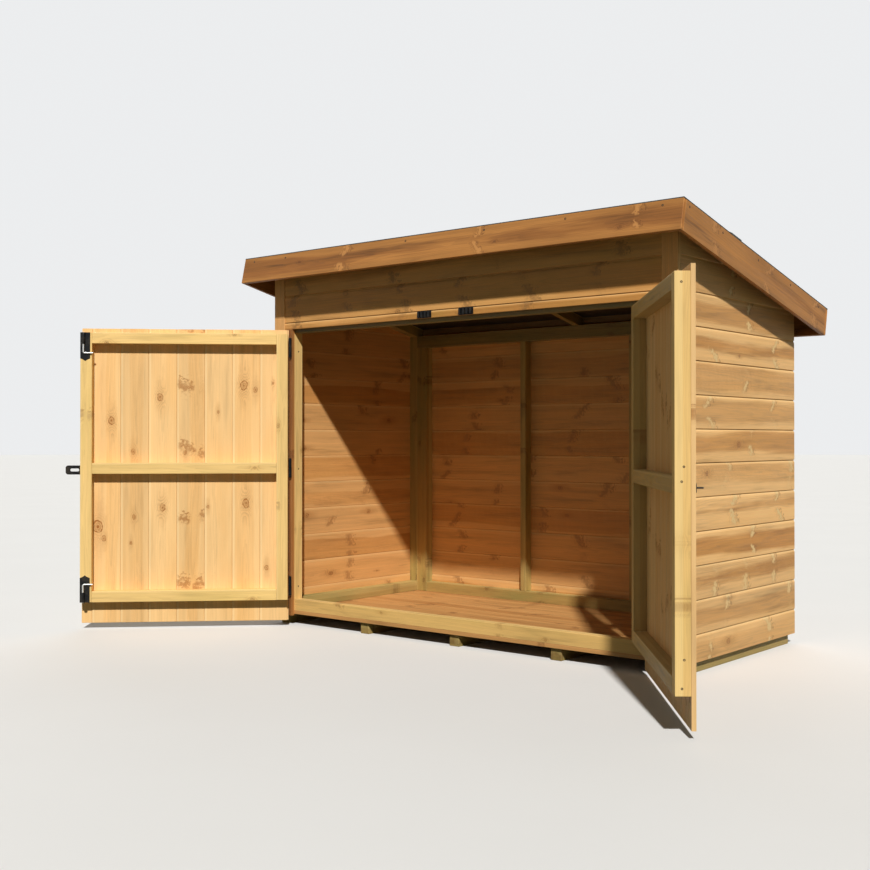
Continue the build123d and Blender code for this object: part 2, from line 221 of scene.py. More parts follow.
# %% [markdown]
# ## One plank
#
# A plank is its outline carried along its length, closed at both ends by a slightly smaller copy, so
# that the ends are eased too. Each point also remembers where it lies in the plank: along, across and
# through. The finish reads that as a block of wood with rings, so the grain runs round every edge and
# shows its rings on the ends. What grew in the plank is a few facts: where the pith of the tree lay,
# how far the heartwood reached, where whorls of branches crossed and where single knots sit.

# %% Plank
station_step = 0.06
end_share = 0.8
pith_spread = 0.35
taper_spread = 0.02
NO_KNOT = (9.0, 9.0, 0.001)
KNOTS = ("knot_a", "knot_b", "knot_c", "knot_d")
FACTS = ("board", "pith", "whorl", "figure", *KNOTS)
Wood = namedtuple("Wood", "pith heart knot knots whorl pale edge")


def loft(place, rings, closed=False):
    """Skin through rings of points of a place, all with the same number round. Quads join each ring to the
    next; flat caps close the ends, or the last ring joins the first. The volume that the faces sweep out
    about their middle is negative when they point inwards, and then all of them are turned round."""
    count, around = rings.shape[:2]
    index = np.arange(count * around).reshape(count, around)
    start, end = (index, np.roll(index, -1, axis=0)) if closed else (index[:-1], index[1:])
    next_start, next_end = np.roll(start, -1, axis=1), np.roll(end, -1, axis=1)
    faces = [np.stack([start, next_start, next_end, end], axis=-1).reshape(-1, 4)]
    if not closed:
        faces += [index[0][None, ::-1], index[-1][None]]
    points = to_world(place, rings).reshape(-1, 3)
    centre = points.mean(axis=0)
    volume = 0.0
    for group in faces:
        corner = points[group] - centre
        fan = np.cross(corner[:, 1:-1], corner[:, 2:])
        volume += np.einsum("ik,ijk->", corner[:, 0], fan)
    if volume < 0:
        faces = [group[:, ::-1] for group in faces]
    return {"points": points, "faces": [face for group in faces for face in group.tolist()]}


def grown(rng, length, width, wood, knots=None, whorl=None, tone=None):
    """What grew in one plank, drawn from the ranges that a kind of timber has. Knots are (along, across,
    radius) from the plank's middle; a whorl is (first, spacing, lean). The heartwood's radius is taken so
    that it crosses the middle of the plank in a band of the drawn width: the square root of that half
    width squared plus the depth of the pith squared."""
    seed, luck = rng.random(), rng.random(8)
    drawn = rng.random((4, 3))
    depth = wood.pith[0] + luck[1] * wood.pith[1]
    pith = ((luck[0] - 0.5) * width * pith_spread, -depth, (luck[2] - 0.5) * taper_spread)
    band = width * (wood.heart[0] + luck[5] * wood.heart[1])
    if knots is None:
        spots = (np.arange(4) + drawn[:, 0]) / 4 * length - length / 2
        size = wood.knot * (0.5 + drawn[:, 2])
        size[rng.random(4) > wood.knots] = NO_KNOT[2]
        knots = np.stack([spots, (drawn[:, 1] - 0.5) * width, size], axis=-1)
    if whorl is None:
        spacing = wood.whorl * (0.8 + 0.5 * luck[4])
        lean = (0.35 + 0.5 * luck[6]) * math.copysign(1, luck[7] - 0.5)
        whorl = ((luck[3] - 0.5) * spacing, spacing, lean)
    tone = (rng.random() - 0.5) * 2 if tone is None else tone
    # The figure holds how pale whorls are, partly their own colour and partly painted sheen, and how strong
    # the painted highlight along the edges is
    figure = (wood.pale, wood.edge, width / 2)
    listed = [*knots, *[NO_KNOT] * 4][:4]
    return np.array([(seed, tone, math.hypot(depth, band)), pith, whorl, figure, *listed])


def plank(box, place, along, across, rng, wood, outline=None, outward=1, arris=0.0015, **growth):
    """One timber that fills a box of a place. The outline lies across b and through c of the box and is
    carried from end to end; points above the solid's roofline are brought down to it."""
    low, high = np.array(box.low), np.array(box.high)
    through = 3 - along - across
    middle, size = (low + high) / 2, high - low
    length, width, depth = size[along], size[across], size[through]
    if outline is None:
        outline = squared(width, depth, arris)
    steps = max(2, int(length / station_step))
    stations = np.concatenate([[0], np.linspace(arris, length - arris, steps), [length]]) - length / 2
    shrink = np.ones(len(stations))
    shrink[[0, -1]] = 1 - 2 * arris / min(width, depth) * end_share
    rings = np.empty((len(stations), len(outline), 3))
    centre = outline.mean(axis=0)
    rings[..., along] = middle[along] + stations[:, None]
    rings[..., across] = middle[across] + centre[0] + (outline[:, 0] - centre[0]) * shrink[:, None]
    eased = centre[1] + (outline[:, 1] - centre[1]) * shrink[:, None]
    rings[..., through] = middle[through] + outward * eased
    part = loft(place, rings)
    points = part["points"]
    if box.roofline is not None:
        points[:, 2] = np.minimum(points[:, 2], box.roofline - points[:, 1] * math.tan(slope))
    local = to_place(place, points) - middle
    ends = np.zeros((len(stations), len(outline)))
    ends[[0, -1]] = 1
    part["grain"] = np.stack([local[:, along], local[:, across], outward * local[:, through]], axis=-1)
    part["end_grain"] = ends.ravel()
    part["facts"] = grown(rng, length, width, wood, **growth)
    return part


# %% [markdown]
# ## From planks to pieces
#
# Planks that are nailed up as one part of the store become one mesh. Their facts go in as attributes
# of the points, the same on all points of a plank, so one material can finish them all and still give
# each its own figure.


def piece(name, parts, material, body, replaces=(), smooth=None):
    """Joins the parts into one object at the origin, with its place in its mesh, and lets it ride on its
    body. Each part's faces are counted on from the points before it."""
    counts = [len(p["points"]) for p in parts]
    starts = np.cumsum([0] + counts)
    points = np.concatenate([p["points"] for p in parts])
    faces = [[v + start for v in face] for p, start in zip(parts, starts) for face in p["faces"]]
    mesh = bpy.data.meshes.new(name)
    mesh.from_pydata(points.tolist(), [], faces)
    if "grain" in parts[0]:
        facts = np.repeat(np.stack([p["facts"] for p in parts]), counts, axis=0)
        layers = {key: facts[:, i] for i, key in enumerate(FACTS)}
        layers["grain"] = np.concatenate([p["grain"] for p in parts])
        for key, values in layers.items():
            layer = mesh.attributes.new(key, "FLOAT_VECTOR", "POINT")
            layer.data.foreach_set("vector", values.astype(np.float32).ravel())
        ends = np.concatenate([p["end_grain"] for p in parts]).astype(np.float32)
        mesh.attributes.new("end_grain", "FLOAT", "POINT").data.foreach_set("value", ends)
    if smooth:
        mesh.polygons.foreach_set("use_smooth", np.ones(len(mesh.polygons), bool))
        mesh.set_sharp_from_angle(angle=math.radians(smooth))
    mesh.materials.append(material)
    obj = bpy.data.objects.new(name, mesh)
    bpy.context.scene.collection.objects.link(obj)
    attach(obj, body)
    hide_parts(*replaces)


def srgb(red, green, blue):
    """A colour given in the 0 to 255 of a screen, as the linear values that a shader takes."""
    share = np.array([red, green, blue]) / 255
    linear = np.where(share <= 0.04045, share / 12.92, ((share + 0.055) / 1.055) ** 2.4)
    return (*linear.tolist(), 1.0)


def blank(name):
    """A new material, its tree and its Principled shader."""
    material = bpy.data.materials.new(name)
    material.use_nodes = True
    return material, material.node_tree, material.node_tree.nodes["Principled BSDF"]


plain_sapwood = srgb(222, 180, 118)
print("sapwood in linear light:", np.round(plain_sapwood, 3))

# %% [markdown]
# ## Writing shaders as formulas
#
# A shader is a formula over the surface, and a formula is easier to read than a row of nodes. A Field
# holds one number that changes over the surface; adding or multiplying fields places the Math nodes.

# %% Fields


class Field:
    """One output of a node. Arithmetic with it adds Math nodes to the same tree."""

    def __init__(self, socket):
        self.socket = socket
        self.tree = socket.id_data

    def maths(self, operation, *others):
        """A Math node of that operation on this field and the others."""
        node = self.tree.nodes.new("ShaderNodeMath")
        node.operation = operation
        for place, value in zip(node.inputs, (self, *others)):
            put(value, place)
        return Field(node.outputs[0])

    __add__ = __radd__ = partialmethod(maths, "ADD")
    __mul__ = __rmul__ = partialmethod(maths, "MULTIPLY")
    __sub__ = partialmethod(maths, "SUBTRACT")
    __truediv__ = partialmethod(maths, "DIVIDE")
    __pow__ = partialmethod(maths, "POWER")
    __abs__ = partialmethod(maths, "ABSOLUTE")

    def __rsub__(self, other):
        return self.maths("MULTIPLY_ADD", -1.0, other)


def put(value, place):
    """Wires a field into a socket, or writes a plain value on it."""
    if isinstance(value, Field):
        value.tree.links.new(value.socket, place)
    else:
        place.default_value = value


def add(tree, kind, inputs=(), **settings):
    """Adds a node, sets its options and fills its inputs by name."""
    node = tree.nodes.new(kind)
    for key, value in settings.items():
        setattr(node, key, value)
    for key, value in dict(inputs).items():
        put(value, node.inputs[key])
    return node


def vector(x, y, z=0.0):
    """A vector from three numbers, of which at least the first is a field."""
    return Field(add(x.tree, "ShaderNodeCombineXYZ", {"X": x, "Y": y, "Z": z}).outputs[0])


def split(field):
    """The three parts of a vector or colour."""
    return [Field(s) for s in add(field.tree, "ShaderNodeSeparateXYZ", {"Vector": field}).outputs]


def read(tree, name):
    """The vector that the mesh keeps under that name, in its parts."""
    return split(Field(add(tree, "ShaderNodeAttribute", attribute_name=name).outputs["Vector"]))


def noise(at, scale, detail=2.0, roughness=0.5):
    """Smooth noise from 0 to 1 about 0.5, over a vector or along one number."""
    node = add(at.tree, "ShaderNodeTexNoise", {"Scale": scale, "Detail": detail, "Roughness": roughness})
    if at.socket.type == "VALUE":
        node.noise_dimensions = "1D"
        put(at, node.inputs["W"])
    else:
        put(at, node.inputs["Vector"])
    return Field(node.outputs[0])


def chance(x, y):
    """Three even random numbers for each pair x, y."""
    node = add(x.tree, "ShaderNodeTexWhiteNoise", {"Vector": vector(x, y)}, noise_dimensions="3D")
    return split(Field(node.outputs["Color"]))


def fade(value, start, end):
    """0 before start and 1 past end, with a smooth S between them; start may be the larger."""
    inputs = {"Value": value, "From Min": start, "From Max": end}
    return Field(add(value.tree, "ShaderNodeMapRange", inputs, interpolation_type="SMOOTHSTEP").outputs[0])


def distance(x, y):
    """Square root of the sum of two squares."""
    return (x * x + y * y) ** 0.5


def blended(share, under, over, mode="MIX"):
    """Two colours mixed by a share; at least one of the three is a field."""
    tree = next(value.tree for value in (share, under, over) if isinstance(value, Field))
    node = add(tree, "ShaderNodeMix", data_type="RGBA", blend_type=mode)
    for index, value in ((0, share), (6, under), (7, over)):
        put(value, node.inputs[index])
    return Field(node.outputs[2])


def new_group(name, inputs, outputs):
    """An empty shader group with named sockets, and its inputs as fields."""
    tree = bpy.data.node_groups.new(name, "ShaderNodeTree")
    for key, value in inputs.items():
        kind = "NodeSocketColor" if isinstance(value, tuple) else "NodeSocketFloat"
        tree.interface.new_socket(key, in_out="INPUT", socket_type=kind).default_value = value
    for key in outputs:
        kind = "NodeSocketColor" if key == "Colour" else "NodeSocketFloat"
        tree.interface.new_socket(key, in_out="OUTPUT", socket_type=kind)
    entry = tree.nodes.new("NodeGroupInput")
    return tree, {key: Field(entry.outputs[key]) for key in inputs}


def finish_group(tree, values):
    """Wires the results to the group's outputs."""
    add(tree, "NodeGroupOutput", values)


def use_group(tree, group, inputs=(), **named):
    """Places a group in a tree and gives its outputs as fields by name. An input of two words is named with
    an underscore between them."""
    named = {key.replace("_", " ").capitalize(): value for key, value in named.items()}
    node = add(tree, "ShaderNodeGroup", {**dict(inputs), **named}, node_tree=group)
    return {socket.name: Field(socket) for socket in node.outputs}


def dress(shader, colour, roughness, height, strength, depth, specular=0.5):
    """Wires colour, roughness and height into a Principled shader. A height of 1 is bumped by the depth."""
    bump = add(height.tree, "ShaderNodeBump", {"Strength": strength, "Distance": depth, "Height": height})
    inputs = {"Base Color": colour, "Roughness": roughness, "Normal": Field(bump.outputs["Normal"])}
    for key, value in {**inputs, "Specular IOR Level": specular}.items():
        put(value, shader.inputs[key])


# %% [markdown]
# ## A round knot
#
# A knot is a branch cut across: a ring with a darker rim, finer rings and a dark eye inside, and a halo
# of warmer wood that the grain bends round. Knots are never true circles, so the distance from the
# middle is warped by noise before anything is drawn with it. Every board may have four of them, so the
# knot is a group of its own that is placed four times.

# %% Knot group
round_knot, knot_in = new_group(
    "Round knot",
    {"Along": 0.0, "Across": 0.0, "Warp": 0.0, "Knot along": 0.0, "Knot across": 0.0, "Knot radius": 0.001},
    ("Core", "Rim", "Halo", "Swelling"),
)
knot_radius, warp = knot_in["Knot radius"], knot_in["Warp"]
present = fade(knot_radius, 0.0015, 0.0025)
off_along = knot_in["Along"] - knot_in["Knot along"]
off_across = knot_in["Across"] - knot_in["Knot across"]
reach = distance(off_along * 0.72, off_across) / knot_radius + warp * 1.1
halo = distance(off_along * 0.28, off_across) / knot_radius + warp * 1.6
eye = fade(reach, 0.55, 0.1)
rings = (reach * 13.0).maths("SINE")
outer_rings = fade(reach, 3.0, 1.0) * fade(rings, 0.2, 0.9) * 0.6
finish_group(
    round_knot,
    {
        "Core": fade(reach, 1.12, 0.80) * (rings * 0.14 + 0.22 + eye * 0.6) * present,
        "Rim": fade(abs(reach - 1.0), 0.26, 0.03) * present,
        "Halo": (fade(halo, 3.0, 0.6) * 0.7 + outer_rings) * present,
        "Swelling": fade(reach, 3.8, 0.0) * knot_radius * present,
    },
)

# %% [markdown]
# ## Softwood
#
# Pine and spruce show rings cut lengthwise, brown heartwood between paler sapwood, whorls of branches
# that cross a board as slanting streaks, and round knots. A picture of wood would repeat from board to
# board. Here the tree itself is worked out: every point of a board has a distance from the pith, the
# rings are steps in that distance, and a knot swells it, so that the rings bend round.

# %% Softwood group
COLOURS = ("Sapwood", "Heartwood", "Knot", "Spike and highlight", "Stain")
softwood, given = new_group(
    "Softwood",
    {
        **dict.fromkeys(COLOURS, plain_sapwood),
        "Stain amount": 0.2,
        "Ring spacing": 0.0031,
        "Ring contrast": 0.25,
        "Streakiness": 0.3,
        "End grain": 0.28,
        "Knot strength": 1.0,
        "Raised grain": 1.0,
    },
    ("Colour", "Roughness", "Height"),
)
along, across, through = read(softwood, "grain")
seed, tone, heart = read(softwood, "board")
pith_across, pith_through, taper = read(softwood, "pith")
spike_pale_and_sheen_share, edge_highlight, half_width = read(softwood, "figure")
end_grain = Field(add(softwood, "ShaderNodeAttribute", attribute_name="end_grain").outputs["Fac"])
outside = fade(through, -0.002, 0.002)


def drawn_out(lengthwise, crosswise):
    """Noise whose blots are drawn out along the grain."""
    at = vector(along * lengthwise + seed * 40.0, across * crosswise, through * crosswise)
    return noise(at, 1.0, 3.0, 0.6)


# The pith wanders a few millimetres and the trunk tapers, so the distance to it changes along a board
wander_across = (noise(along * 1.1 + seed * 91.0, 1.0, 1.0) - 0.5) * 0.036
wander_through = (noise(along * 0.9 + seed * 57.0, 1.0, 1.0) - 0.5) * 0.020
off_pith = across - pith_across - wander_across
depth_off = through - pith_through - wander_through + along * taper
lengthwise = vector(along + seed * 40.0, across * 12.0, through * 12.0)
waver = (noise(lengthwise, 3.2, 3.0, 0.6) - 0.5) * 0.010
from_pith = distance(off_pith, depth_off) + waver

# Whorls: branches leave the pith at even distances up the trunk and lean out to both sides
first_whorl, whorl_spacing, lean = read(softwood, "whorl")
count = ((along - first_whorl) / whorl_spacing).maths("ROUND")
side_of_pith = off_pith.maths("SIGN")
reach = abs(off_pith)
lean_share, width_share, length_share = chance(count + seed * 19.0, side_of_pith + seed * 7.0)
start_share, present_share, skew_share = chance(count + seed * 23.0, side_of_pith + seed * 11.0)
warp = noise(vector(along * 55.0, across * 55.0 + seed * 9.0), 1.0, 3.0, 0.6) - 0.5
ragged = noise(vector(along * 95.0 + seed * 3.0, across * 70.0), 1.0, 2.0)
patchy = fade(ragged, 0.40, 0.58)
bend = noise(vector(across * 24.0 + seed * 9.0, along * 5.0), 1.0, 1.0) - 0.5
kink = noise(vector(across * 90.0 + seed * 5.0, along * 30.0), 1.0, 2.0) - 0.5
leaning = reach * lean * (lean_share * 1.2 + 0.2)
streak_line = first_whorl + count * whorl_spacing + (skew_share - 0.5) * 0.03 + leaning
streak_off = along - streak_line + bend * 0.044 + kink * 0.024
streak_start = start_share * 0.018 - 0.004
streak_end = streak_start + length_share * 0.055 + 0.024
streak_reach = fade(reach, streak_end + 0.018, streak_end) * fade(reach, streak_start, streak_start + 0.012)
streak_reach = streak_reach * fade(present_share, 0.20, 0.25)
frayed = fade(ragged, 0.30, 0.68) * 1.8 + 0.15
streak_width = (width_share * 0.006 + 0.0065 + reach * 0.04) * frayed * (streak_reach * 0.6 + 0.4)
streak_share = abs(streak_off) / streak_width
streak = fade(streak_share, 1.5, 0.3) * streak_reach
# Painted shadow: the brown rim of a streak is darker on one side, as if the streak stood out of the board
shadow_side = fade(streak_off / streak_width, 0.2, 1.0)
streak_rim_and_shadow = fade(abs(streak_share - 1.4), 0.8, 0.1) * streak_reach * patchy * (shadow_side * 0.8 + 0.2)
streak_halo = fade(abs(streak_off), 0.026, 0.003) * streak_reach
swelling = fade(abs(streak_off), 0.035, 0.0) * streak_reach * 0.005

# Round knots, up to four in a board
core, rim, halo = streak * 0.0, streak * 0.0, streak_halo * 0.6
for name in KNOTS:
    place = dict(zip(("Knot along", "Knot across", "Knot radius"), read(softwood, name)))
    knot = use_group(softwood, round_knot, place, along=along, across=across, warp=warp)
    core = core.maths("MAXIMUM", knot["Core"])
    rim = rim.maths("MAXIMUM", knot["Rim"] * (patchy * 0.6 + 0.4))
    halo = halo.maths("MAXIMUM", knot["Halo"])
    swelling = swelling + knot["Swelling"]

# Rings: pale early wood that darkens towards a sharp late edge; broad bands group them
growth = from_pith + swelling
phase = (growth / given["Ring spacing"]).maths("FRACT")
late = fade(phase, 0.30, 0.94) * fade(phase, 1.0, 0.95)
bands = noise(growth * 70.0 + seed * 31.0, 1.0, 2.0, 0.6) - 0.5
long_streaks = noise(lengthwise, 2.2, 3.0, 0.62) - 0.5
fine_streaks = drawn_out(2.4, 110.0) - 0.5
fibres = drawn_out(14.0, 760.0) - 0.5
pores = noise(vector(along * 160.0, across * 1900.0 + seed * 60.0, through * 1900.0), 1.0, 2.0) - 0.5
clouds = drawn_out(1.7, 8.0)
in_heart = fade(from_pith + long_streaks * 0.022 + fine_streaks * 0.012, heart + 0.007, heart - 0.007)
in_heart = in_heart * (chance(seed * 37.0, seed * 3.0)[0] * 0.75 + 0.30)
in_heart = in_heart.maths("MAXIMUM", (1.0 - outside) * 0.55)
smudges = fade(long_streaks, -0.04, -0.22)

# Colour: heart and sap, stain, shading by rings and fibres, then a painted highlight along the edges,
# and knots
colour = blended(in_heart, given["Sapwood"], given["Heartwood"])
colour = blended(fade(clouds, 0.42, 0.74) * given["Stain amount"], colour, given["Stain"])
contrast = given["Ring contrast"]
shade = 1.0 + tone * 0.07 + (clouds - 0.5) * 0.20 + bands * contrast * 0.9 + fibres * 0.10 + pores * 0.05
shade = shade + (long_streaks * 1.1 + fine_streaks * 0.6 - smudges * 0.35) * given["Streakiness"] * 1.2
shade = shade - late * (contrast * 0.6 + halo * 0.22) - end_grain * given["End grain"]
colour = blended(1.0, colour, vector(shade, shade, shade), "MULTIPLY")
# Painted highlight: a pale line along the upper edge of each board's outer face, where the hollow faces the
# light, and a fainter one along both edges of the inner face
outer_edge = fade(across, half_width - 0.0085, half_width - 0.0045) * outside
inner_edge = fade(abs(across), half_width - 0.0034, half_width - 0.0018) * (1.0 - outside)
colour = blended((outer_edge + inner_edge * 0.45) * edge_highlight, colour, given["Spike and highlight"])
colour = blended(halo * 0.30, colour, given["Heartwood"])
# Whorl streaks are pale partly in their own colour and partly as painted sheen, more on outer faces and on
# timbers in the sun; where that share is low they are drawn darker instead
spike_pale_and_sheen = spike_pale_and_sheen_share * (outside * 0.85 + 0.15)
colour = blended(streak * spike_pale_and_sheen, colour, given["Spike and highlight"])
dark = rim * 0.55 + core * 0.75 + halo * 0.18
dark = dark + streak_rim_and_shadow * 0.48 + streak * (1.0 - spike_pale_and_sheen) * 0.42
dark = (dark * given["Knot strength"]).maths("MINIMUM", 0.9)
colour = blended(dark, colour, given["Knot"])
roughness = 0.60 + fibres * 0.25 + late * -0.08 + core * -0.14 + end_grain * 0.2 + (clouds - 0.5) * 0.12
relief = fibres * 0.55 + late * 0.30 + pores * 0.35 + fine_streaks * 0.4
height = relief * given["Raised grain"] + core * 0.5 + streak * 0.3
finish_group(softwood, {"Colour": colour, "Roughness": roughness, "Height": height})
print("the softwood group has", len(softwood.nodes), "nodes")

# %% [markdown]
# ## Kinds of timber
#
# The same tree, seen through different treatment: golden cladding, paler door boards, battens with the
# yellow-green of fresh pressure treatment, and fascias that were stained browner. The olive battens inside
# and under the store and the roof boards are darkened as painted shade, for the deep shade they stand in.

# %% Timber materials


def timber(name, *colours, **values):
    """A material that shows the softwood group. Its colours are those of sapwood, heartwood, knots, pale
    spikes with their painted sheen and the painted highlight on the edges, and stain; the values are other
    inputs of the group, by name."""
    material, tree, shader = blank(name)
    wood = use_group(tree, softwood, zip(COLOURS, [srgb(*colour) for colour in colours]), **values)
    seen = (wood["Colour"], wood["Roughness"], wood["Height"])
    dress(shader, *seen, strength=0.55, depth=0.0006, specular=0.35)
    return material


cladding_wood = timber(
    "treated_cladding",
    (248, 198, 134), (204, 144, 80), (124, 66, 24), (255, 222, 160), (218, 162, 92),
    stain_amount=0.3, ring_contrast=0.17, streakiness=0.34,
)
header_wood = timber(
    "browner_cladding",
    (224, 166, 98), (196, 136, 68), (92, 52, 22), (240, 198, 136), (160, 124, 60),
    stain_amount=0.5, ring_contrast=0.17, streakiness=0.34,
)
door_wood = timber(
    "door_boards",
    (252, 214, 156), (240, 190, 124), (150, 86, 14), (255, 234, 184), (226, 172, 102),
    stain_amount=0.45, ring_contrast=0.14, streakiness=0.20, knot_strength=1.25,
)
framing_wood = timber(
    "treated_framing",
    (242, 203, 131), (228, 179, 102), (140, 92, 44), (250, 221, 159), (196, 169, 91),
    stain_amount=0.45, ring_contrast=0.14, streakiness=0.30, raised_grain=1.4,
)
# Olive of the treatment, and darker than the framing outside as painted shade: these timbers stand inside and
# under the store
post_wood_painted_shade = timber(
    "olive_framing_painted_shade",
    (190, 164, 98), (168, 134, 74), (96, 66, 32), (214, 190, 128), (132, 128, 70),
    stain_amount=0.7, ring_contrast=0.16, streakiness=0.36, raised_grain=1.6,
)
fascia_wood = timber(
    "stained_fascia",
    (184, 126, 66), (142, 88, 42), (84, 46, 20), (232, 166, 96), (146, 96, 46),
    stain_amount=0.45, ring_contrast=0.24, streakiness=0.55, end_grain=-0.60,
)
floor_wood = timber(
    "floor_boards",
    (206, 152, 92), (182, 124, 68), (112, 64, 32), (222, 176, 112), (170, 126, 72),
    stain_amount=0.4, ring_contrast=0.22, streakiness=0.35,
)
# Almost black as painted shade: the deck's underside is only seen in the deep shade under the roof
roof_wood_painted_shade = timber(
    "roof_boards",
    (58, 43, 27), (46, 33, 20), (30, 19, 12), (68, 53, 34), (38, 33, 23),
    stain_amount=0.5, raised_grain=1.8,
)
# Least depth of the pith and its spread, least share of the width that is heart and its spread, radius of
# the knots and their share of four, distance between whorls, how pale whorls are, partly their own colour
# and partly painted sheen, and the strength of the painted highlight along the edges
CLADDING = Wood((0.018, 0.03), (0.20, 0.28), 0.006, 0.15, 0.40, 0.9, 0.45)
# Lit and shaded copies: walls in the sun get pale painted sheen on their whorls, the header in the shade of
# the roof almost none, the walls away from the light a middle share; fascias get no painted highlight
SHADED = CLADDING._replace(pale=0.1)
HIDDEN_SIDES = CLADDING._replace(knots=0.25, whorl=0.55, pale=0.6)
FASCIA = CLADDING._replace(pale=0.7, edge=0.0)
BATTEN = Wood((0.020, 0.04), (0.10, 0.40), 0.005, 0.30, 0.90, 0.3, 0.25)
BOARD = Wood((0.018, 0.03), (0.15, 0.30), 0.008, 0.35, 0.60, 0.1, 0.55)
NO_WHORL = (9.0, 20.0, 0.3)
print("timber finishes:", [m.name for m in bpy.data.materials])

# %% [markdown]
# ## Walls and header
#
# The courses run level all round the store, one joint every 115 mm, and the lowest board is ripped down
# to clear the ground. Side walls end under the sloping roof, so the topmost boards are cut along it and
# stop where they would run out to nothing.

# %% Wall boards
first_joint = 0.0165
shortest_tip = 0.003
thickness_spread = 0.0005
length_spread = 0.0006
board_arris = 0.0006


def cladding_boards(node, rng, along, across, outward, wood, facts, place=STORE, start=None):
    """Fills a slab with shiplap boards laid side by side across it, one board cover apart, from the start
    or else from the joint at or below the slab's edge. The outermost boards are ripped down, and those
    of a side wall end where they meet the roof."""
    slab = whole(node, place)
    low, high = slab.low, slab.high
    through = 3 - along - across
    if start is None:
        start = first_joint + board_cover * math.floor((low[across] - first_joint) / board_cover)
    parts = []
    for number, edge in enumerate(np.arange(start, high[across], board_cover)):
        middle = edge + board_cover / 2
        outline = shiplap(high[through] - low[through] - rng.random() * thickness_spread)
        if edge < low[across]:
            outline = ripped(outline, low[across] - middle, 1)
        if edge + board_cover + lip_overlap > high[across]:
            outline = ripped(outline, high[across] - middle, -1)
        board_low, board_high = low.copy(), high.copy()
        board_low[across], board_high[across] = edge, edge + board_cover
        if place is STORE and along == 1:
            reach = (slab.roofline - max(edge, low[across]) - shortest_tip) / math.tan(slope)
            board_high[along] = min(high[along], reach)
        board_high[along] -= rng.random() * length_spread
        board = Solid(board_low, board_high, slab.roofline if place is STORE else None)
        growth = facts.get(number, {})
        parts.append(plank(board, place, along, across, rng, wood, outline, outward, board_arris, **growth))
    return parts


# Where branches cross the boards that the photograph shows, course by course: first, spacing and lean
right_wall_whorls = (
    (-0.153, 0.550, 0.5),
    (0.037, 0.235, -0.6),
    (0.062, 0.500, 0.5),
    (-0.090, 0.357, 0.7),
    (-0.112, 0.534, -0.5),
    (0.055, 0.520, 0.6),
    (-0.276, 0.519, 0.8),
    (0.057, 0.500, -0.6),
    (-0.254, 0.507, 0.7),
    (0.041, 0.500, 0.5),
)
header_whorls = ((-0.561, 0.300, 0.3), (-0.561, 0.300, 0.5), (-0.314, 0.520, 0.4))
wall_facts = {
    "right_wall": {course: {"whorl": whorl} for course, whorl in enumerate(right_wall_whorls, 1)},
    "front_header": {course: {"whorl": whorl} for course, whorl in enumerate(header_whorls)},
    # Painted shade: the back wall's topmost course, just under the roof, is given a darker tone
    "back_wall": {11: {"tone": -7.0}},
}
for name, along, outward, number, wood, material in (
    ("left_wall", 1, -1, 11, HIDDEN_SIDES, cladding_wood),
    ("right_wall", 1, 1, 7, CLADDING, cladding_wood),
    ("back_wall", 0, 1, 23, HIDDEN_SIDES, cladding_wood),
    ("front_header", 0, -1, 31, SHADED, header_wood),
):
    facts = wall_facts.get(name, {})
    boards = cladding_boards(name, np.random.default_rng(number), along, 2, outward, wood, facts)
    piece(f"{name}_boards", boards, material, "store", [name])
    print(name, "has", len(boards), "boards")

# %% [markdown]
# ## Trims, posts, rails and the rafter
#
# Everything else in the body of the store is a straight timber. Its longest side tells which way the
# grain runs, and the next longest is the face that shows.

# %% Straight timbers
clearly_less = 0.8


def as_cut(node, place):
    """Each of a node's solids as its place and its box. A timber of the store is measured level and along
    the roof's slope; where the box along the slope has clearly less volume, it was cut along it."""
    if place is not STORE:
        return [(place, box._replace(roofline=None)) for box in solids(node, place)]
    cuts = []
    for level, sloping in zip(solids(node), solids(node, SHEARED)):
        shrinks = np.prod(sloping.high - sloping.low) < clearly_less * np.prod(level.high - level.low)
        cuts.append((SHEARED, sloping._replace(roofline=None)) if shrinks else (STORE, level))
    return cuts


def timbers(nodes, rng, wood, facts, place=STORE, arris=0.0015, outward=1):
    """A plank in each solid of some nodes, with its grain along the longest side of its box."""
    parts = []
    for node in nodes:
        for number, (cut, box) in enumerate(as_cut(node, place)):
            size = box.high - box.low
            along = int(np.argmax(size))
            across = int(sorted((k for k in range(3) if k != along), key=lambda k: size[k])[-1])
            growth = facts.get((node, number), {})
            parts.append(plank(box, cut, along, across, rng, wood, None, outward, arris, **growth))
    return parts


store_timbers = (
    ("corner_trims", ["left_corner_trim", "right_corner_trim"], cladding_wood, 41),
    ("jamb_boards", ["left_jamb_board", "right_jamb_board"], fascia_wood, 43),
    ("jamb_posts", ["left_jamb_post", "right_jamb_post"], framing_wood, 44),
    ("side_wall_posts", ["left_wall_posts", "right_wall_posts"], post_wood_painted_shade, 45),
    ("side_wall_rails", ["left_wall_rails", "right_wall_rails"], post_wood_painted_shade, 46),
    ("back_wall_posts", ["back_wall_posts"], post_wood_painted_shade, 47),
    ("back_wall_rails", ["back_wall_rails"], post_wood_painted_shade, 48),
    ("front_top_rail", ["front_top_rail"], post_wood_painted_shade, 49),
    ("header_rail", ["header_rail"], post_wood_painted_shade, 50),
    ("sill", ["sill"], framing_wood, 51),
    ("rafters", ["rafters"], post_wood_painted_shade, 52),
    ("bearers", ["bearers"], post_wood_painted_shade, 53),
)
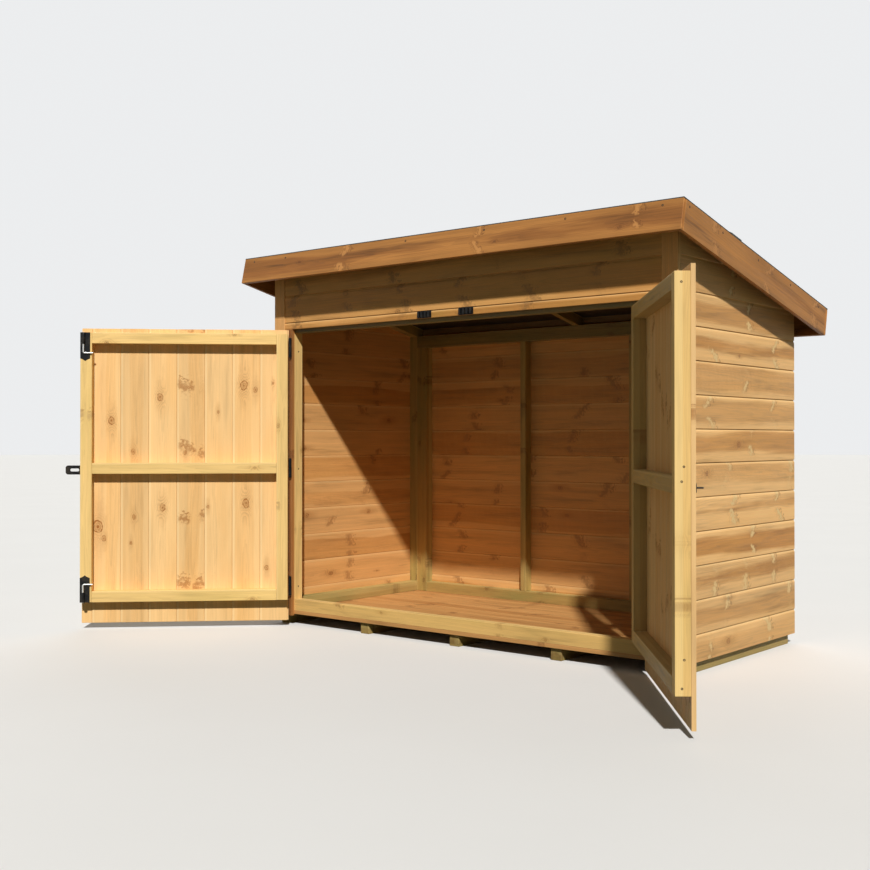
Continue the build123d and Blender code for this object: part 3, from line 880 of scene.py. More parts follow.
# Painted shade: timbers that stand in the deep shade under the roof are given darker tones
painted_shade_tones = {
    ("header_rail", 0): {"tone": -7.0},
    ("back_wall_rails", 0): {"tone": -6.0},
    ("left_wall_rails", 0): {"tone": -3.0},
    ("right_wall_rails", 0): {"tone": -3.0},
    ("rafters", 0): {"tone": -6.0},
}
for name, nodes, material, number in store_timbers:
    slot = "framing_timber" if material in (framing_wood, post_wood_painted_shade) else "cladding"
    parts = timbers(nodes, np.random.default_rng(number), BATTEN, painted_shade_tones)
    piece(f"{name}_timber", parts, material, "store", nodes)
    cut_to_slope = sum(cut is SHEARED for node in nodes for cut, _ in as_cut(node, STORE))
    print(name, len(parts), "timbers,", cut_to_slope, "of them cut along the slope")

# %% [markdown]
# ## Floor, roof boards and fascias
#
# The floor and the roof deck are plain boards with a hairline between them. The fascias are laid out on
# the slope of the roof; the front one shows three pairs of slanting knots, so its whorls are placed.

# %% Floor, deck and fascias
floor_board = 0.0996
deck_board = 0.1030
hairline = 0.0008
narrowest_board = 0.01
level_spread = 0.0004
plain_arris = 0.0012


def plain_boards(node, rng, cover, place):
    """Rips a slab into boards that run along x, with a hairline between them."""
    slab = whole(node, place)
    parts = []
    for edge in np.arange(slab.low[1], slab.high[1] - narrowest_board, cover):
        low, high = slab.low.copy(), slab.high.copy()
        low[1], high[1] = edge, min(edge + cover - hairline, slab.high[1])
        high[2] -= rng.random() * level_spread
        parts.append(plank(Solid(low, high, None), place, 0, 1, rng, BOARD, None, 1, plain_arris))
    return parts


for node, number, cover, place, material, slot in (
    ("floor_deck", 61, floor_board, STORE, floor_wood, "floor_boards"),
    ("roof_deck", 62, deck_board, ROOF, roof_wood_painted_shade, "roof_boards"),
):
    boards = plain_boards(node, np.random.default_rng(number), cover, place)
    piece(f"{node}_boards", boards, material, "store", [node])
    print(node, "has", len(boards), "boards")

front_fascia_growth = {
    "whorl": (-0.464, 0.660, 0.62),
    "knots": [(0.815, -0.020, 0.006), (-0.70, 0.010, 0.004), (0.30, -0.012, 0.004)],
}
for name, number, outward in (("front", 71, -1), ("rear", 72, 1), ("left", 73, -1), ("right", 74, 1)):
    node = f"{name}_fascia"
    special = {("front_fascia", 0): front_fascia_growth}
    parts = timbers([node], np.random.default_rng(number), FASCIA, special, ROOF, plain_arris, outward)
    piece(f"{node}_board", parts, fascia_wood, "store", [node])
    print(node, "is", len(parts), "board")

# %% [markdown]
# ## Doors
#
# Each leaf is laid out flat: boards stand upright side by side, battens lie behind them. The joints
# start from the hinge side, and the outermost board is ripped down to the width that is left.

# %% Doors
door_first_joint = 0.1196


def board_growth(tone, *knots, whorl=NO_WHORL):
    """What the photograph shows of one board: its shade, its knots and where branches cross it."""
    return {"tone": tone, "knots": knots, "whorl": whorl}


left_boards = (
    board_growth(0.1, (0.3865, 0.0099, 0.0040), (-0.3905, 0.0359, 0.0070)),
    board_growth(0.5, (0.3775, 0.0169, 0.0130), (0.3585, -0.0321, 0.0080), (-0.1185, 0.0069, 0.0120)),
    board_growth(0.2, (0.2655, 0.0079, 0.0050), (-0.1325, 0.0499, 0.0050)),
    board_growth(-0.9, (0.0935, 0.030, 0.0060), whorl=(0.3575, 0.2700, 0.25)),
    board_growth(0.6, (0.3265, 0.0179, 0.0105), (-0.1345, 0.0069, 0.0105)),
    board_growth(-0.8, (0.0995, 0.0129, 0.0080), (-0.1735, 0.0089, 0.0065), (-0.2805, 0.0219, 0.0050)),
    board_growth(0.6, (0.2285, -0.0131, 0.0110), (-0.2125, 0.0409, 0.0170), (-0.2615, 0.0169, 0.0080)),
)
# The right door's boards, stiles and rails are given darker tones as painted shade, for the inside of the
# open leaf that turns away from the light
board_facts = {"left": dict(enumerate(left_boards)), "right": {number: {"tone": -1.6} for number in range(8)}}
batten_tones_and_shade = {
    "left_door_stiles": (-1.0, -0.2),
    "left_door_rails": (None, -0.9, 0.9),
    "right_door_stiles": (-5.5,),
    "right_door_rails": (-6.0, -6.0, -6.0),
}
batten_facts = {
    (node, number): {"tone": tone}
    for node, tones in batten_tones_and_shade.items()
    for number, tone in enumerate(tones)
}
for side, sign in SIDES.items():
    number = 81 + sign
    place, body, node = DOOR[side], f"{side}_door", f"{side}_door_boards"
    rng = np.random.default_rng(number)
    start = door_first_joint - board_cover
    boards = cladding_boards(node, rng, 2, 0, -1, BOARD, board_facts[side], place, start)
    piece(f"{side}_door_planks", boards, door_wood, body, [node])
    for part in ("stiles", "rails"):
        node = f"{side}_door_{part}"
        parts = timbers([node], np.random.default_rng(number + len(part)), BATTEN, batten_facts, place)
        piece(f"{node}_timber", parts, framing_wood, body, [node])
    print(side, "door:", len(boards), "boards")

# %% [markdown]
# ## Felt
#
# Two strips of mineral felt run along the roof. The upper one laps over the lower, so that rain runs off
# it, and clout nails hold the edges. Each strip is a sheet of points whose height is the thickness of
# what lies below it, plus a slow ripple.

# %% Felt
felt_sheet = 0.0032
lap = 0.075
roll_width = 0.78
ripple = 0.0005
hem = 0.05
climb_length = 0.02
climb_play = 0.0003
full_turn = 6.28
felt_columns, felt_rows = 70, 36


def felt_strip(low, high, lift, rng):
    """A closed sheet on a grid over x and the slope: its top is the lift plus the sheet's thickness plus
    sines of both distances, which fade out at the edges; its underside follows it one thickness below."""
    x, y = np.linspace(low[0], high[0], felt_columns), np.linspace(low[1], high[1], felt_rows)
    across, down = np.meshgrid(x, y, indexing="ij")
    phase = rng.random(4) * full_turn
    wave = np.sin(across * 5.3 + phase[0]) * np.sin(down * 8.1 + phase[1])
    wave = wave + np.sin(across * 11.7 + phase[2] + down * 3.1)
    from_side = np.minimum(across - low[0], high[0] - across)
    from_edge = np.minimum(from_side, np.minimum(down - low[1], high[1] - down))
    lifted = lift(down) + ripple * (1 + wave / 2) * np.clip(from_edge / hem, 0, 1)
    bottom = np.stack([across, down, low[2] + lifted], axis=-1)
    top = bottom + (0, 0, felt_sheet)
    return loft(ROOF, np.concatenate([bottom, top[:, ::-1]], axis=1))


felt_box = whole("roof_felt", ROOF)
split_line = felt_box.high[1] - roll_width
lower_low = np.array([felt_box.low[0], split_line - lap, felt_box.low[2]])
upper_high = np.array([felt_box.high[0], split_line, felt_box.high[2]])


def over_lap(down):
    """The upper strip climbs onto the lower one just above the lap."""
    start = split_line - lap - climb_length
    return (felt_sheet + climb_play) * np.clip((down - start) / climb_length, 0, 1)


felt_rng = np.random.default_rng(91)
felt_parts = [
    felt_strip(lower_low, felt_box.high, lambda down: down * 0, felt_rng),
    felt_strip(felt_box.low, upper_high, over_lap, felt_rng),
]


def felt_material():
    """Crushed mineral on bitumen: each granule is a cell with its own grey, and stands up a little."""
    material, tree, shader = blank("mineral_felt")
    place = Field(add(tree, "ShaderNodeTexCoord").outputs["Object"])
    cells = add(tree, "ShaderNodeTexVoronoi", {"Vector": place, "Scale": 620.0})
    grain_shade = split(Field(cells.outputs["Color"]))[0]
    broad = noise(place, 4.0, 4.0, 0.6)
    wash = noise(vector(*[p * s for p, s in zip(split(place), (9.0, 1.2, 1.2))]), 1.0, 3.0)
    bare = fade(noise(place, 120.0, 3.0), 0.60, 0.70)
    colour = blended(grain_shade * 0.75 + (broad - 0.5) * 0.8, srgb(30, 31, 33), srgb(92, 96, 98))
    colour = blended(fade(wash, 0.5, 0.75) * 0.35, colour, srgb(110, 112, 106))
    colour = blended(bare * 0.6, colour, srgb(22, 22, 23))
    height = Field(cells.outputs["Distance"]) * -1.0 + bare * -0.5
    dress(shader, colour, 0.80 + grain_shade * 0.15, height, strength=0.8, depth=0.0008)
    return material


piece("roof_felt_sheets", felt_parts, felt_material(), "store", ["roof_felt"], smooth=30)
print("felt laps at", round(split_line, 3), "down the slope")

# %% [markdown]
# ## Metal finishes
#
# The ironmongery and its screws are pressed steel with a black coating, and the bolts' rods are zinc plated;
# the other screws and the clout nails are a dull dark brown-grey. All share one group for handling marks: a
# fine orange-peel height, scratches and a film of dust.

# %% Metal materials
marks, wanted = new_group(
    "Handling marks",
    {"Grain size": 900.0, "Scratches": 0.5, "Dust": 0.3},
    ("Dust", "Scratch", "Height", "Cloud"),
)
spot = Field(add(marks, "ShaderNodeTexCoord").outputs["Object"])
px, py, pz = split(spot)
peel = noise(spot, wanted["Grain size"])
cloud = noise(spot, 38.0, 3.0)
lines = noise(vector(px * 60.0 + py * 900.0, py * 60.0 + pz * 200.0, pz * 1300.0), 1.0, 2.0)
scratch = fade(lines, 0.66, 0.72) * wanted["Scratches"]
dust = fade(cloud, 0.45, 0.75) * wanted["Dust"]
finish_group(marks, {"Dust": dust, "Scratch": scratch, "Height": peel - scratch * 0.6, "Cloud": cloud})


def metal(name, base, worn, metallic, roughness, bump_depth, **handling):
    """A coated or plated steel: base colour under dust, worn to another along scratches. The handling is
    what the group of marks is given."""
    material, tree, shader = blank(name)
    seen = use_group(tree, marks, **handling)
    colour = blended(seen["Scratch"], srgb(*base), srgb(*worn))
    colour = blended(seen["Dust"] * 0.5, colour, srgb(150, 134, 108))
    rough = roughness + seen["Dust"] * 0.3 + (seen["Cloud"] - 0.5) * 0.25
    specular = 0.5 if metallic else 0.2
    dress(shader, colour, rough, seen["Height"], strength=0.4, depth=bump_depth, specular=specular)
    shader.inputs["Metallic"].default_value = metallic
    return material


black_iron = metal(
    "black_coated_steel", (16, 16, 18), (84, 82, 80),
    metallic=0.0, roughness=0.36, bump_depth=0.0002, grain_size=900.0, scratches=0.3, dust=0.16,
)
bright_steel = metal(
    "zinc_plated_steel", (206, 206, 202), (150, 150, 148),
    metallic=1.0, roughness=0.30, bump_depth=0.0001, grain_size=1500.0, scratches=0.4, dust=0.2,
)
screw_steel = metal(
    "screw_steel", (50, 41, 33), (120, 110, 94),
    metallic=0.0, roughness=0.5, bump_depth=0.0001, grain_size=1500.0, scratches=0.3, dust=0.2,
)
print("metal finishes ready")

# %% [markdown]
# ## Ironmongery
#
# Hinges, bolts and hasp are cut from plate with rounded corners and eased edges. A plate is its outline
# carried through its thickness, a little smaller at both faces. A barrel is a circle carried along the
# pin. All are laid out on the plane of the leaf that they are screwed to.

# %% Plates and barrels
edge_ease = 0.0005
corner_steps = 5
barrel_sides = 28


def circle(sides):
    """Points of a circle of radius 1, at even angles."""
    angle = np.arange(sides) / sides * 2 * np.pi
    return np.stack([np.cos(angle), np.sin(angle)], axis=-1)


def drawn_in(outline, ease):
    """An outline drawn in about its middle, so that each of its sides moves by the ease."""
    middle = (outline.max(axis=0) + outline.min(axis=0)) / 2
    half = (outline.max(axis=0) - outline.min(axis=0)) / 2
    return middle + (outline - middle) * (1 - ease / half)


def carried(place, outline, start, end, order, ease=edge_ease):
    """Carries an outline from start to end, drawn in at both. The order says which axes of the place the
    outline's two numbers and the way from start to end lie along."""
    rings = np.empty((4, len(outline), 3))
    levels = (start, start + edge_ease, end - edge_ease, end)
    for ring, level, inset in zip(rings, levels, (ease, 0, 0, ease)):
        ring[:, order[:2]] = drawn_in(outline, inset)
        ring[:, order[2]] = level
    return loft(place, rings)


def plate(place, low, high, axis, radius):
    """A plate in a box, thin along the given axis, with round corners and eased faces."""
    low, high = np.array(low), np.array(high)
    others = [k for k in range(3) if k != axis]
    outline = squared(*(high - low)[others], radius, corner_steps) + (low + high)[others] / 2
    return carried(place, outline, low[axis], high[axis], others + [axis])


def barrel(place, centre, radius, start, end):
    """An upright round bar with eased ends."""
    return carried(place, np.array(centre) + radius * circle(barrel_sides), start, end, [0, 1, 2])


def ironwork(name, parts, body, node, metal=black_iron, smooth=35):
    """One piece of metal that takes the place of a node of the construction."""
    piece(name, parts, metal, body, [node], smooth=smooth)


# %% [markdown]
# ## Screws and nails
#
# A screw head is a shallow dome of circles with a cross pressed into it. A nail head is a smaller, plain
# one. Hundreds may be set at once: one head is worked out and copied to every place by multiplying
# arrays.

# %% Screws and nails
head_sides = 16
Head = namedtuple("Head", "radius dome recess metal")
HINGE_SCREW = Head(0.0036, 0.0005, 0.0012, black_iron)
HASP_SCREW = Head(0.0036, 0.0006, 0.0012, black_iron)
STAPLE_SCREW = Head(0.0030, 0.0005, 0.0012, black_iron)
BOLT_SCREW = Head(0.0026, 0.0004, 0.0006, black_iron)
CATCH_SCREW = Head(0.0026, 0.0004, 0.0006, screw_steel)
FASCIA_SCREW = Head(0.0042, 0.0004, 0.0012, screw_steel)
EDGE_SCREW = Head(0.0034, 0.0004, 0.0012, screw_steel)
FACE_SCREW = Head(0.0030, 0.0004, 0.0012, screw_steel)
CLOUT_NAIL = Head(0.0050, 0.0005, 0.0, screw_steel)


def head(kind):
    """Points of one head: rings of falling radius, raised by the dome, lowered by the recess on the four
    angles of the cross; the last ring is the middle."""
    share = np.array([1.0, 1.0, 0.86, 0.55, 0.30, 0.04])
    height = np.array([-0.6, 0.25, 0.85, 1.0, 1.0, 1.0]) * kind.dome
    cross = (np.arange(head_sides) % (head_sides // 4) == 0).astype(float)
    sunk = np.outer([0, 0, 0, 0.6, 1.0, 1.0], cross) * kind.recess
    sunk[-1] = kind.recess
    x, y = (np.outer(share, way) * kind.radius for way in circle(head_sides).T)
    return np.stack([x, y, height[:, None] - sunk], axis=-1)


def heads(name, place, spots, normal, body, kind, seed=1):
    """One piece with a head at every spot of a place, facing the normal, each turned by its own random
    angle."""
    form = head(kind)
    normal = np.array(normal, float)
    side = np.cross(normal, (0.3, 0.2, 0.9))
    side /= np.linalg.norm(side)
    basis = np.stack([side, np.cross(normal, side), normal])
    turns = np.random.default_rng(seed).random(len(spots)) * np.pi
    parts = []
    for spot, angle in zip(np.array(spots, float), turns):
        cos, sin = math.cos(angle), math.sin(angle)
        turned = np.array([[cos, sin, 0], [-sin, cos, 0], [0, 0, 1]])
        parts.append(loft(place, spot + form @ turned @ basis))
    piece(name, parts, kind.metal, body, smooth=40)


print("one screw head has", head(FACE_SCREW)[..., 0].size, "points")

# %% [markdown]
# ## Hinges
#
# Three butt hinges carry each door. The leaf on the jamb has the lower knuckle, the leaf on the door the
# upper one, and a pin runs up through the lower knuckle and just into the upper one.

# %% Hinges
knuckle_radius = 0.005
knuckle_gap = 0.0005
pin_radius = 0.0025
pin_end = 0.001
leaf_thickness = 0.0025
leaf_corner = 0.003
leaf_relief = 0.001
curl_depth = 0.0056
curl_corner = 0.0008
screw_shifts = (-0.029, 0.0, 0.029)
stagger = 0.1

for side, sign in SIDES.items():
    door = DOOR[side]
    jamb_axes = np.array([[-sign, 0, 0], [0, 1, 0], [0, 0, 1]], float)
    jamb = Place(door.origin * (1, 1, 0), jamb_axes)
    for owner, place, body in (("jamb", jamb, "store"), ("door", door, f"{side}_door")):
        node = f"{side}_{owner}_hinges"
        parts, screws = [], []
        for box in solids(node, place):
            bottom, top = box.low[2], box.high[2]
            middle = (bottom + top) / 2
            # The leaf is the part of the box that lies beyond the barrel
            far = box.high[0] if owner == "door" else box.low[0]
            near = math.copysign(knuckle_radius + leaf_relief, far)
            face = box.high[1]
            back = face - leaf_thickness
            leaf_low, leaf_high = (min(near, far), back, bottom), (max(near, far), face, top)
            parts.append(plate(place, leaf_low, leaf_high, 1, leaf_corner))
            start, end, curl_back = bottom, middle - knuckle_gap / 2, 0.0
            if owner == "door":
                start, end, curl_back = middle + knuckle_gap / 2, top, face - curl_depth
            parts.append(barrel(place, (0.0, 0.0), knuckle_radius, start, end))
            curl_low, curl_high = (min(0.0, near), curl_back, start), (max(0.0, near), face, end)
            parts.append(plate(place, curl_low, curl_high, 2, curl_corner))
            if owner == "door":
                parts.append(barrel(place, (0.0, 0.0), pin_radius, bottom, middle + pin_end))
            screws += [((near + far) / 2 + shift * stagger, back, middle + shift) for shift in screw_shifts]
        ironwork(f"{node}_plates", parts, body, node)
        heads(f"{node}_screws", place, screws, (0, -1, 0), body, HINGE_SCREW)
print("hinges done")

# %% [markdown]
# ## Tower bolts
#
# A bolt at the top and one at the foot hold the left leaf shut. Each is a black plate that ends in a
# small ogee, with a pressed guide over a bright rod. The rod is cranked over at its end as a handle, so
# it is one circle carried along a bent path.

# %% Bolt parts
guide_radius = 0.0066
guide_wall = 0.0019
crank_radius = 0.006
cap_rings = 5
arm_tip = 0.0008
ogee_power = 1.6
ogee_blunt = 0.06
ogee_end, ogee_steps = 0.95, 12
bow_steps = 15
rod_rings, bend_rings, arm_rings = 8, 9, 7


def ogee_plate(place, low, high, tip, points_up):
    """A plate whose one end narrows to a point between two scallops: its half width falls with a power
    of the distance that is left to the point, and is cut off just before it."""
    half = (high[0] - low[0]) / 2
    centre = (high[0] + low[0]) / 2
    share = np.linspace(0, ogee_end, ogee_steps)
    width = half * ((1 - ogee_blunt) * (1 - share) ** ogee_power + ogee_blunt)
    base, start, way = (low[2], high[2] - tip, 1) if points_up else (high[2], low[2] + tip, -1)
    rise = start + way * (share * tip)
    right = np.stack([centre + width, rise], axis=-1)
    left = np.stack([centre - width, rise], axis=-1)[::-1]
    outline = np.concatenate([[(centre - half, base), (centre + half, base)], right, left])
    return carried(place, outline, low[1], high[1], [0, 2, 1])


def arch(place, centre, foot, start, end):
    """A pressed guide: the outline runs over the rod as a half circle with straight feet, and back inside
    it one wall thickness smaller; it is carried along the rod."""
    angle = np.linspace(0, np.pi, bow_steps)
    lines = []
    for radius in (guide_radius, guide_radius - guide_wall):
        bow = np.stack([np.cos(angle), np.sin(angle)], axis=-1) * radius + centre
        lines.append(np.concatenate([[(bow[0, 0], foot)], bow, [(bow[-1, 0], foot)]]))
    outline = np.concatenate([lines[0], lines[1][::-1]])
    return carried(place, outline, start, end, [0, 1, 2], edge_ease * 0.5)


def rod_along(place, path, radius, normal, sides):
    """A round bar along a path that lies in a plane: each circle is spanned by the plane's normal and by
    the cross product of the path's direction with it. The radius is one number or one for each point."""
    direction = np.gradient(path, axis=0)
    direction /= np.linalg.norm(direction, axis=1)[:, None]
    side = np.cross(direction, normal)
    cos, sin = circle(sides).T[:, None, :, None]
    reach = np.broadcast_to(radius, len(path))[:, None, None]
    return loft(place, path[:, None] + reach * (cos * np.array(normal) + sin * side[:, None]))


def cranked(rod_at, arm_at, bend, tip, level, rod_radius, arm_radius):
    """Path and radii of a bolt from its nose to the tip of its arm: straight, a quarter circle, straight.
    The rings at both ends close in as on a ball, as the square root of one minus their share squared."""
    way = math.copysign(1, arm_at - tip)
    straight = np.linspace(tip, arm_at - way * bend, rod_rings)
    turn = np.linspace(0, np.pi / 2, bend_rings)[1:]
    run = np.linspace(rod_at[0] - bend, rod_at[1], arm_rings)[1:]
    along = np.concatenate([rod_at[0] + straight * 0, rod_at[0] - bend + bend * np.cos(turn), run])
    up = np.concatenate([straight, arm_at - way * bend + way * bend * np.sin(turn), arm_at + run * 0])
    path = np.stack([along, along * 0 + level, up], axis=-1)
    bend_starts, bend_ends, last = len(straight), len(straight) + len(turn) - 1, len(along) - 1
    thick = [rod_radius, rod_radius, arm_radius, arm_radius]
    radius = np.interp(np.arange(len(along)), [0, bend_starts, bend_ends, last], thick)
    into = (path[1] - path[0]) / np.linalg.norm(path[1] - path[0])
    out = (path[-1] - path[-2]) / np.linalg.norm(path[-1] - path[-2])
    share = np.linspace(0, 1, cap_rings)[:, None]
    closing = np.sqrt(1 - np.linspace(0, 0.98, cap_rings) ** 2)
    nose, end = path[0] + into * share * rod_radius, path[-1] + out * (share[1:] * arm_tip)
    radius = np.concatenate([radius[0] * closing[:0:-1], radius, radius[-1] * closing[1:]])
    return np.concatenate([nose, path[1:], end]), radius


# %% [markdown]
# ### The two bolts, put together
#
# The plate is screwed to the outer stile with the guide near its square end. The rod is drawn back in the
# photograph, so its nose just reaches the leaf's edge and its arm lies over the plate.

# %% Bolts
bolt_plate = 0.002
wider = 0.004
longer = {"upper_bolt": 0.018, "lower_bolt": 0.012}
plate_tip = 0.011
guide_starts = 0.001
guide_ends = {"upper_bolt": 0.049, "lower_bolt": 0.042}
nose_drawn_in = 0.002
arm_shift = {"upper_bolt": -0.002, "lower_bolt": 0.006}
arm_end = 0.001
arm_radius = 0.003
rod_sides = 18
# Distance of the screws from the rod's middle, and from the plate's straight end
screw_columns = ((-0.0165, (0.008, 0.046, 0.088)), (0.0105, (0.012, 0.066)))

door = DOOR["left"]
plates, screws = [], []
for box, node, body in zip(
    solids("left_door_bolt_guides", door), ("lower_bolt", "upper_bolt"), ("foot_bolt", "top_bolt")
):
    rod = whole(node, door)
    upper = node == "upper_bolt"
    # The straight end of the plate is at the end of the leaf, and the way leads from it to the point
    end, way = (box.high[2], -1) if upper else (box.low[2], 1)
    rod_radius = (rod.high[1] - rod.low[1]) / 2
    centre_u, centre_w = rod.high[0] - rod_radius, (rod.high[1] + rod.low[1]) / 2
    face = box.low[1] + bolt_plate
    low = box.low - (wider, 0, longer[node] if upper else 0)
    high = np.array([box.high[0], face, box.high[2] + (0 if upper else longer[node])])
    plates.append(ogee_plate(door, low, high, plate_tip, not upper))
    guide = sorted((end + way * guide_starts, end + way * guide_ends[node]))
    plates.append(arch(door, (centre_u, centre_w), face, *guide))
    screws += [(centre_u + du, face, end + way * far) for du, distances in screw_columns for far in distances]
    tip, arm = (rod.high[2], rod.low[2]) if upper else (rod.low[2], rod.high[2])
    rod_at = (centre_u, rod.low[0] + arm_end)
    tip, arm = tip + way * nose_drawn_in, arm + arm_shift[node]
    path, radius = cranked(rod_at, arm, crank_radius, tip, centre_w, rod_radius, arm_radius)
    rod_parts = [rod_along(door, path, radius, (0.0, 1.0, 0.0), rod_sides)]
    ironwork(f"{node}_rod", rod_parts, body, node, bright_steel, 50)
ironwork("bolt_plates", plates, "left_door", "left_door_bolt_guides")
heads("bolt_screws", door, screws, (0, 1, 0), "left_door", BOLT_SCREW)
print("bolts:", len(plates) // 2, "plates with", len(screws), "screws")

# %% [markdown]
# ## Hasp, staple and catches
#
# The hasp's strap folds over the meeting edges of the shut doors, so that its slot drops over the staple
# on the other leaf, where a padlock goes through. The strap is an outline with a hole: rings run round
# the outside and back through the slot. The staple's loop is round wire. Under the roof, two ribbed
# catches are screwed to the header.

# %% Hasp
hasp_knuckle = 0.0042
knuckle_length = 0.009
strap_play = 0.0005
strap_thickness = 0.0025
leaf_to_pin = 0.0052
curl_lap = 0.001
hasp_pin = 0.0018
hasp_corner = 0.006
slot_distance = 0.0375
slot_half = np.array([0.018, 0.0, 0.006])
slot_corner = 0.0058
slot_steps = 7
knuckle_corner = 0.0012
strap_corners = [0.011, 0.002, 0.002, 0.011]


def slotted_plate(place, low, high, radii, slot_low, slot_high, slot_radius):
    """A plate with a slot: the outline and the slot have the same number of points, so that one closed
    run of rings goes down the outside, under, up the inside of the slot and back over the top."""
    sheet = [0, 2]
    outer, inner = (
        squared(*(end - start)[sheet], corners, slot_steps) + (end + start)[sheet] / 2
        for start, end, corners in ((low, high, radii), (slot_low, slot_high, slot_radius))
    )
    levels = [low[1], low[1] + edge_ease, high[1] - edge_ease, high[1]]
    run = list(zip([outer] * 4, levels, (edge_ease, 0, 0, edge_ease)))
    run += list(zip([inner] * 4, levels[::-1], (-edge_ease, 0, 0, -edge_ease)))
    rings = [np.insert(drawn_in(outline, ease), 1, level, axis=1) for outline, level, ease in run]
    return loft(place, np.array(rings), closed=True)


fixed, strap = whole("hasp_plate", door), whole("hasp_strap", door)
pin_u, pin_w = strap.low[0] + hasp_knuckle, strap.low[1] + hasp_knuckle
bottom, top = strap.low[2], strap.high[2]
middle = (bottom + top) / 2
leaf_end = pin_u - leaf_to_pin
leaf_back = fixed.high[1] - strap_thickness
leaf_low, leaf_high = (fixed.low[0], leaf_back, bottom), (leaf_end, fixed.high[1], top)
parts = [plate(door, leaf_low, leaf_high, 1, hasp_corner)]
for start in (bottom, top - knuckle_length):
    end = start + knuckle_length
    parts.append(barrel(door, (pin_u, pin_w), hasp_knuckle, start, end))
    curl_low, curl_high = (leaf_end - curl_lap, pin_w, start), (pin_u + curl_lap, fixed.high[1], end)
    parts.append(plate(door, curl_low, curl_high, 2, knuckle_corner))
parts.append(barrel(door, (pin_u, pin_w), hasp_pin, bottom + strap_play, top - strap_play))
ironwork("hasp_fixed_leaf", parts, "left_door", "hasp_plate")
spots = [(fixed.low[0] + du, leaf_back, middle + dz) for du in (0.008, 0.036) for dz in (-0.011, 0.011)]
heads("hasp_screws", door, spots, (0, -1, 0), "left_door", HASP_SCREW)

strap_low = np.array([pin_u + leaf_to_pin, pin_w - strap_thickness / 2, bottom])
strap_high = np.array([strap.high[0], pin_w + strap_thickness / 2, top])
slot = np.array([pin_u + slot_distance, pin_w, middle])
slot_low, slot_high = slot - slot_half, slot + slot_half
start, end = bottom + knuckle_length + strap_play, top - knuckle_length - strap_play
curl_low, curl_high = (pin_u, strap_low[1], start), (strap_low[0] + curl_lap, strap_high[1], end)
parts = [
    slotted_plate(door, strap_low, strap_high, strap_corners, slot_low, slot_high, slot_corner),
    barrel(door, (pin_u, pin_w), hasp_knuckle, start, end),
    plate(door, curl_low, curl_high, 2, curl_corner),
]
ironwork("hasp_strap_slotted", parts, "hasp", "hasp_strap")
print("the hasp's strap reaches", round(strap.high[0] - pin_u, 4), "m from its pin")

# %% [markdown]
# ### Staple
#
# The other leaf carries the staple: a small plate with a loop of round wire. The loop is two legs and a
# half circle in one level plane, so it is a circle carried along that path.

# %% Staple
wire, wire_sides = 0.002, 14
loop_half = 0.012 - wire
loop_steps, leg_steps = 13, 5
bow_depth = 0.006
foot_lap = 0.001

other = DOOR["right"]
foot = whole("staple", other)
foot_back = foot.high[1] - leaf_thickness
centre_u, _, centre_z = (foot.low + foot.high) / 2
reach_w = foot.low[1] + wire
turn = np.linspace(0, np.pi, loop_steps)
leg = np.linspace(foot_back + foot_lap, reach_w + bow_depth, leg_steps)[:-1]
out = np.concatenate([loop_half + leg * 0, loop_half * np.cos(turn), -loop_half - leg * 0])
into = np.concatenate([leg, reach_w + bow_depth - bow_depth * np.sin(turn), leg[::-1]])
loop_path = np.stack([centre_u - out, into, centre_z + out * 0], axis=-1)
parts = [
    plate(other, (foot.low[0], foot_back, foot.low[2]), foot.high, 1, hasp_corner),
    rod_along(other, loop_path, wire, (0.0, 0.0, 1.0), wire_sides),
]
ironwork("staple_loop", parts, "right_door", "staple")
spots = [(centre_u + du, foot_back, centre_z + dz) for du in (-0.017, 0.017) for dz in (-0.008, 0.008)]
heads("staple_screws", other, spots, (0, -1, 0), "right_door", STAPLE_SCREW)
print("the staple's loop is bent from", len(loop_path), "points")

# %% [markdown]
# ### Catches
#
# Two ribbed black plates sit on the lower edge of the header, over the meeting edges of the doors. Each
# is a base plate with four half-round ribs on short webs, and a screw between each pair of ribs.

# %% Catches
rib_count = 4
rib_radius = 0.0056
rib_play = 0.0002
rib_inset = 0.003
web_half = 0.0038
web_inset = 0.004
web_corner = 0.001
base_thickness = 0.003

parts, spots = [], []
for box in solids("header_catches"):
    low, high = box.low, box.high
    base_low = (low[0], high[1] - base_thickness, low[2])
    parts.append(plate(STORE, base_low, high, 1, leaf_corner))
    ribs = low[0] + (np.arange(rib_count) + 0.5) / rib_count * (high[0] - low[0])
    for rib in ribs:
        centre = (rib, low[1] + rib_radius + rib_play)
        parts.append(barrel(STORE, centre, rib_radius, low[2] + rib_inset, high[2] - rib_inset))
        web_low = (rib - web_half, low[1] + rib_radius, low[2] + web_inset)
        web_high = (rib + web_half, high[1], high[2] - web_inset)
        parts.append(plate(STORE, web_low, web_high, 2, web_corner))
    spots += [(x, base_low[1], (low[2] + high[2]) / 2) for x in (ribs[:-1] + ribs[1:]) / 2]
ironwork("header_catch_plates", parts, "store", "header_catches")
heads("header_catch_screws", STORE, spots, (0, -1, 0), "store", CATCH_SCREW)
print("two catches with", len(spots), "screws")

# %% [markdown]
# ## Screws and nails in the timber
#
# Screws hold the fascias, the battens of the doors and the posts of the doorway. Where the photograph
# shows one, it sits there; the rest follow the joiner's usual places. Clout nails hold the felt.

# %% Screws in the timber
below_top = 0.017
stile_gap = 0.01
zigzag = 0.003

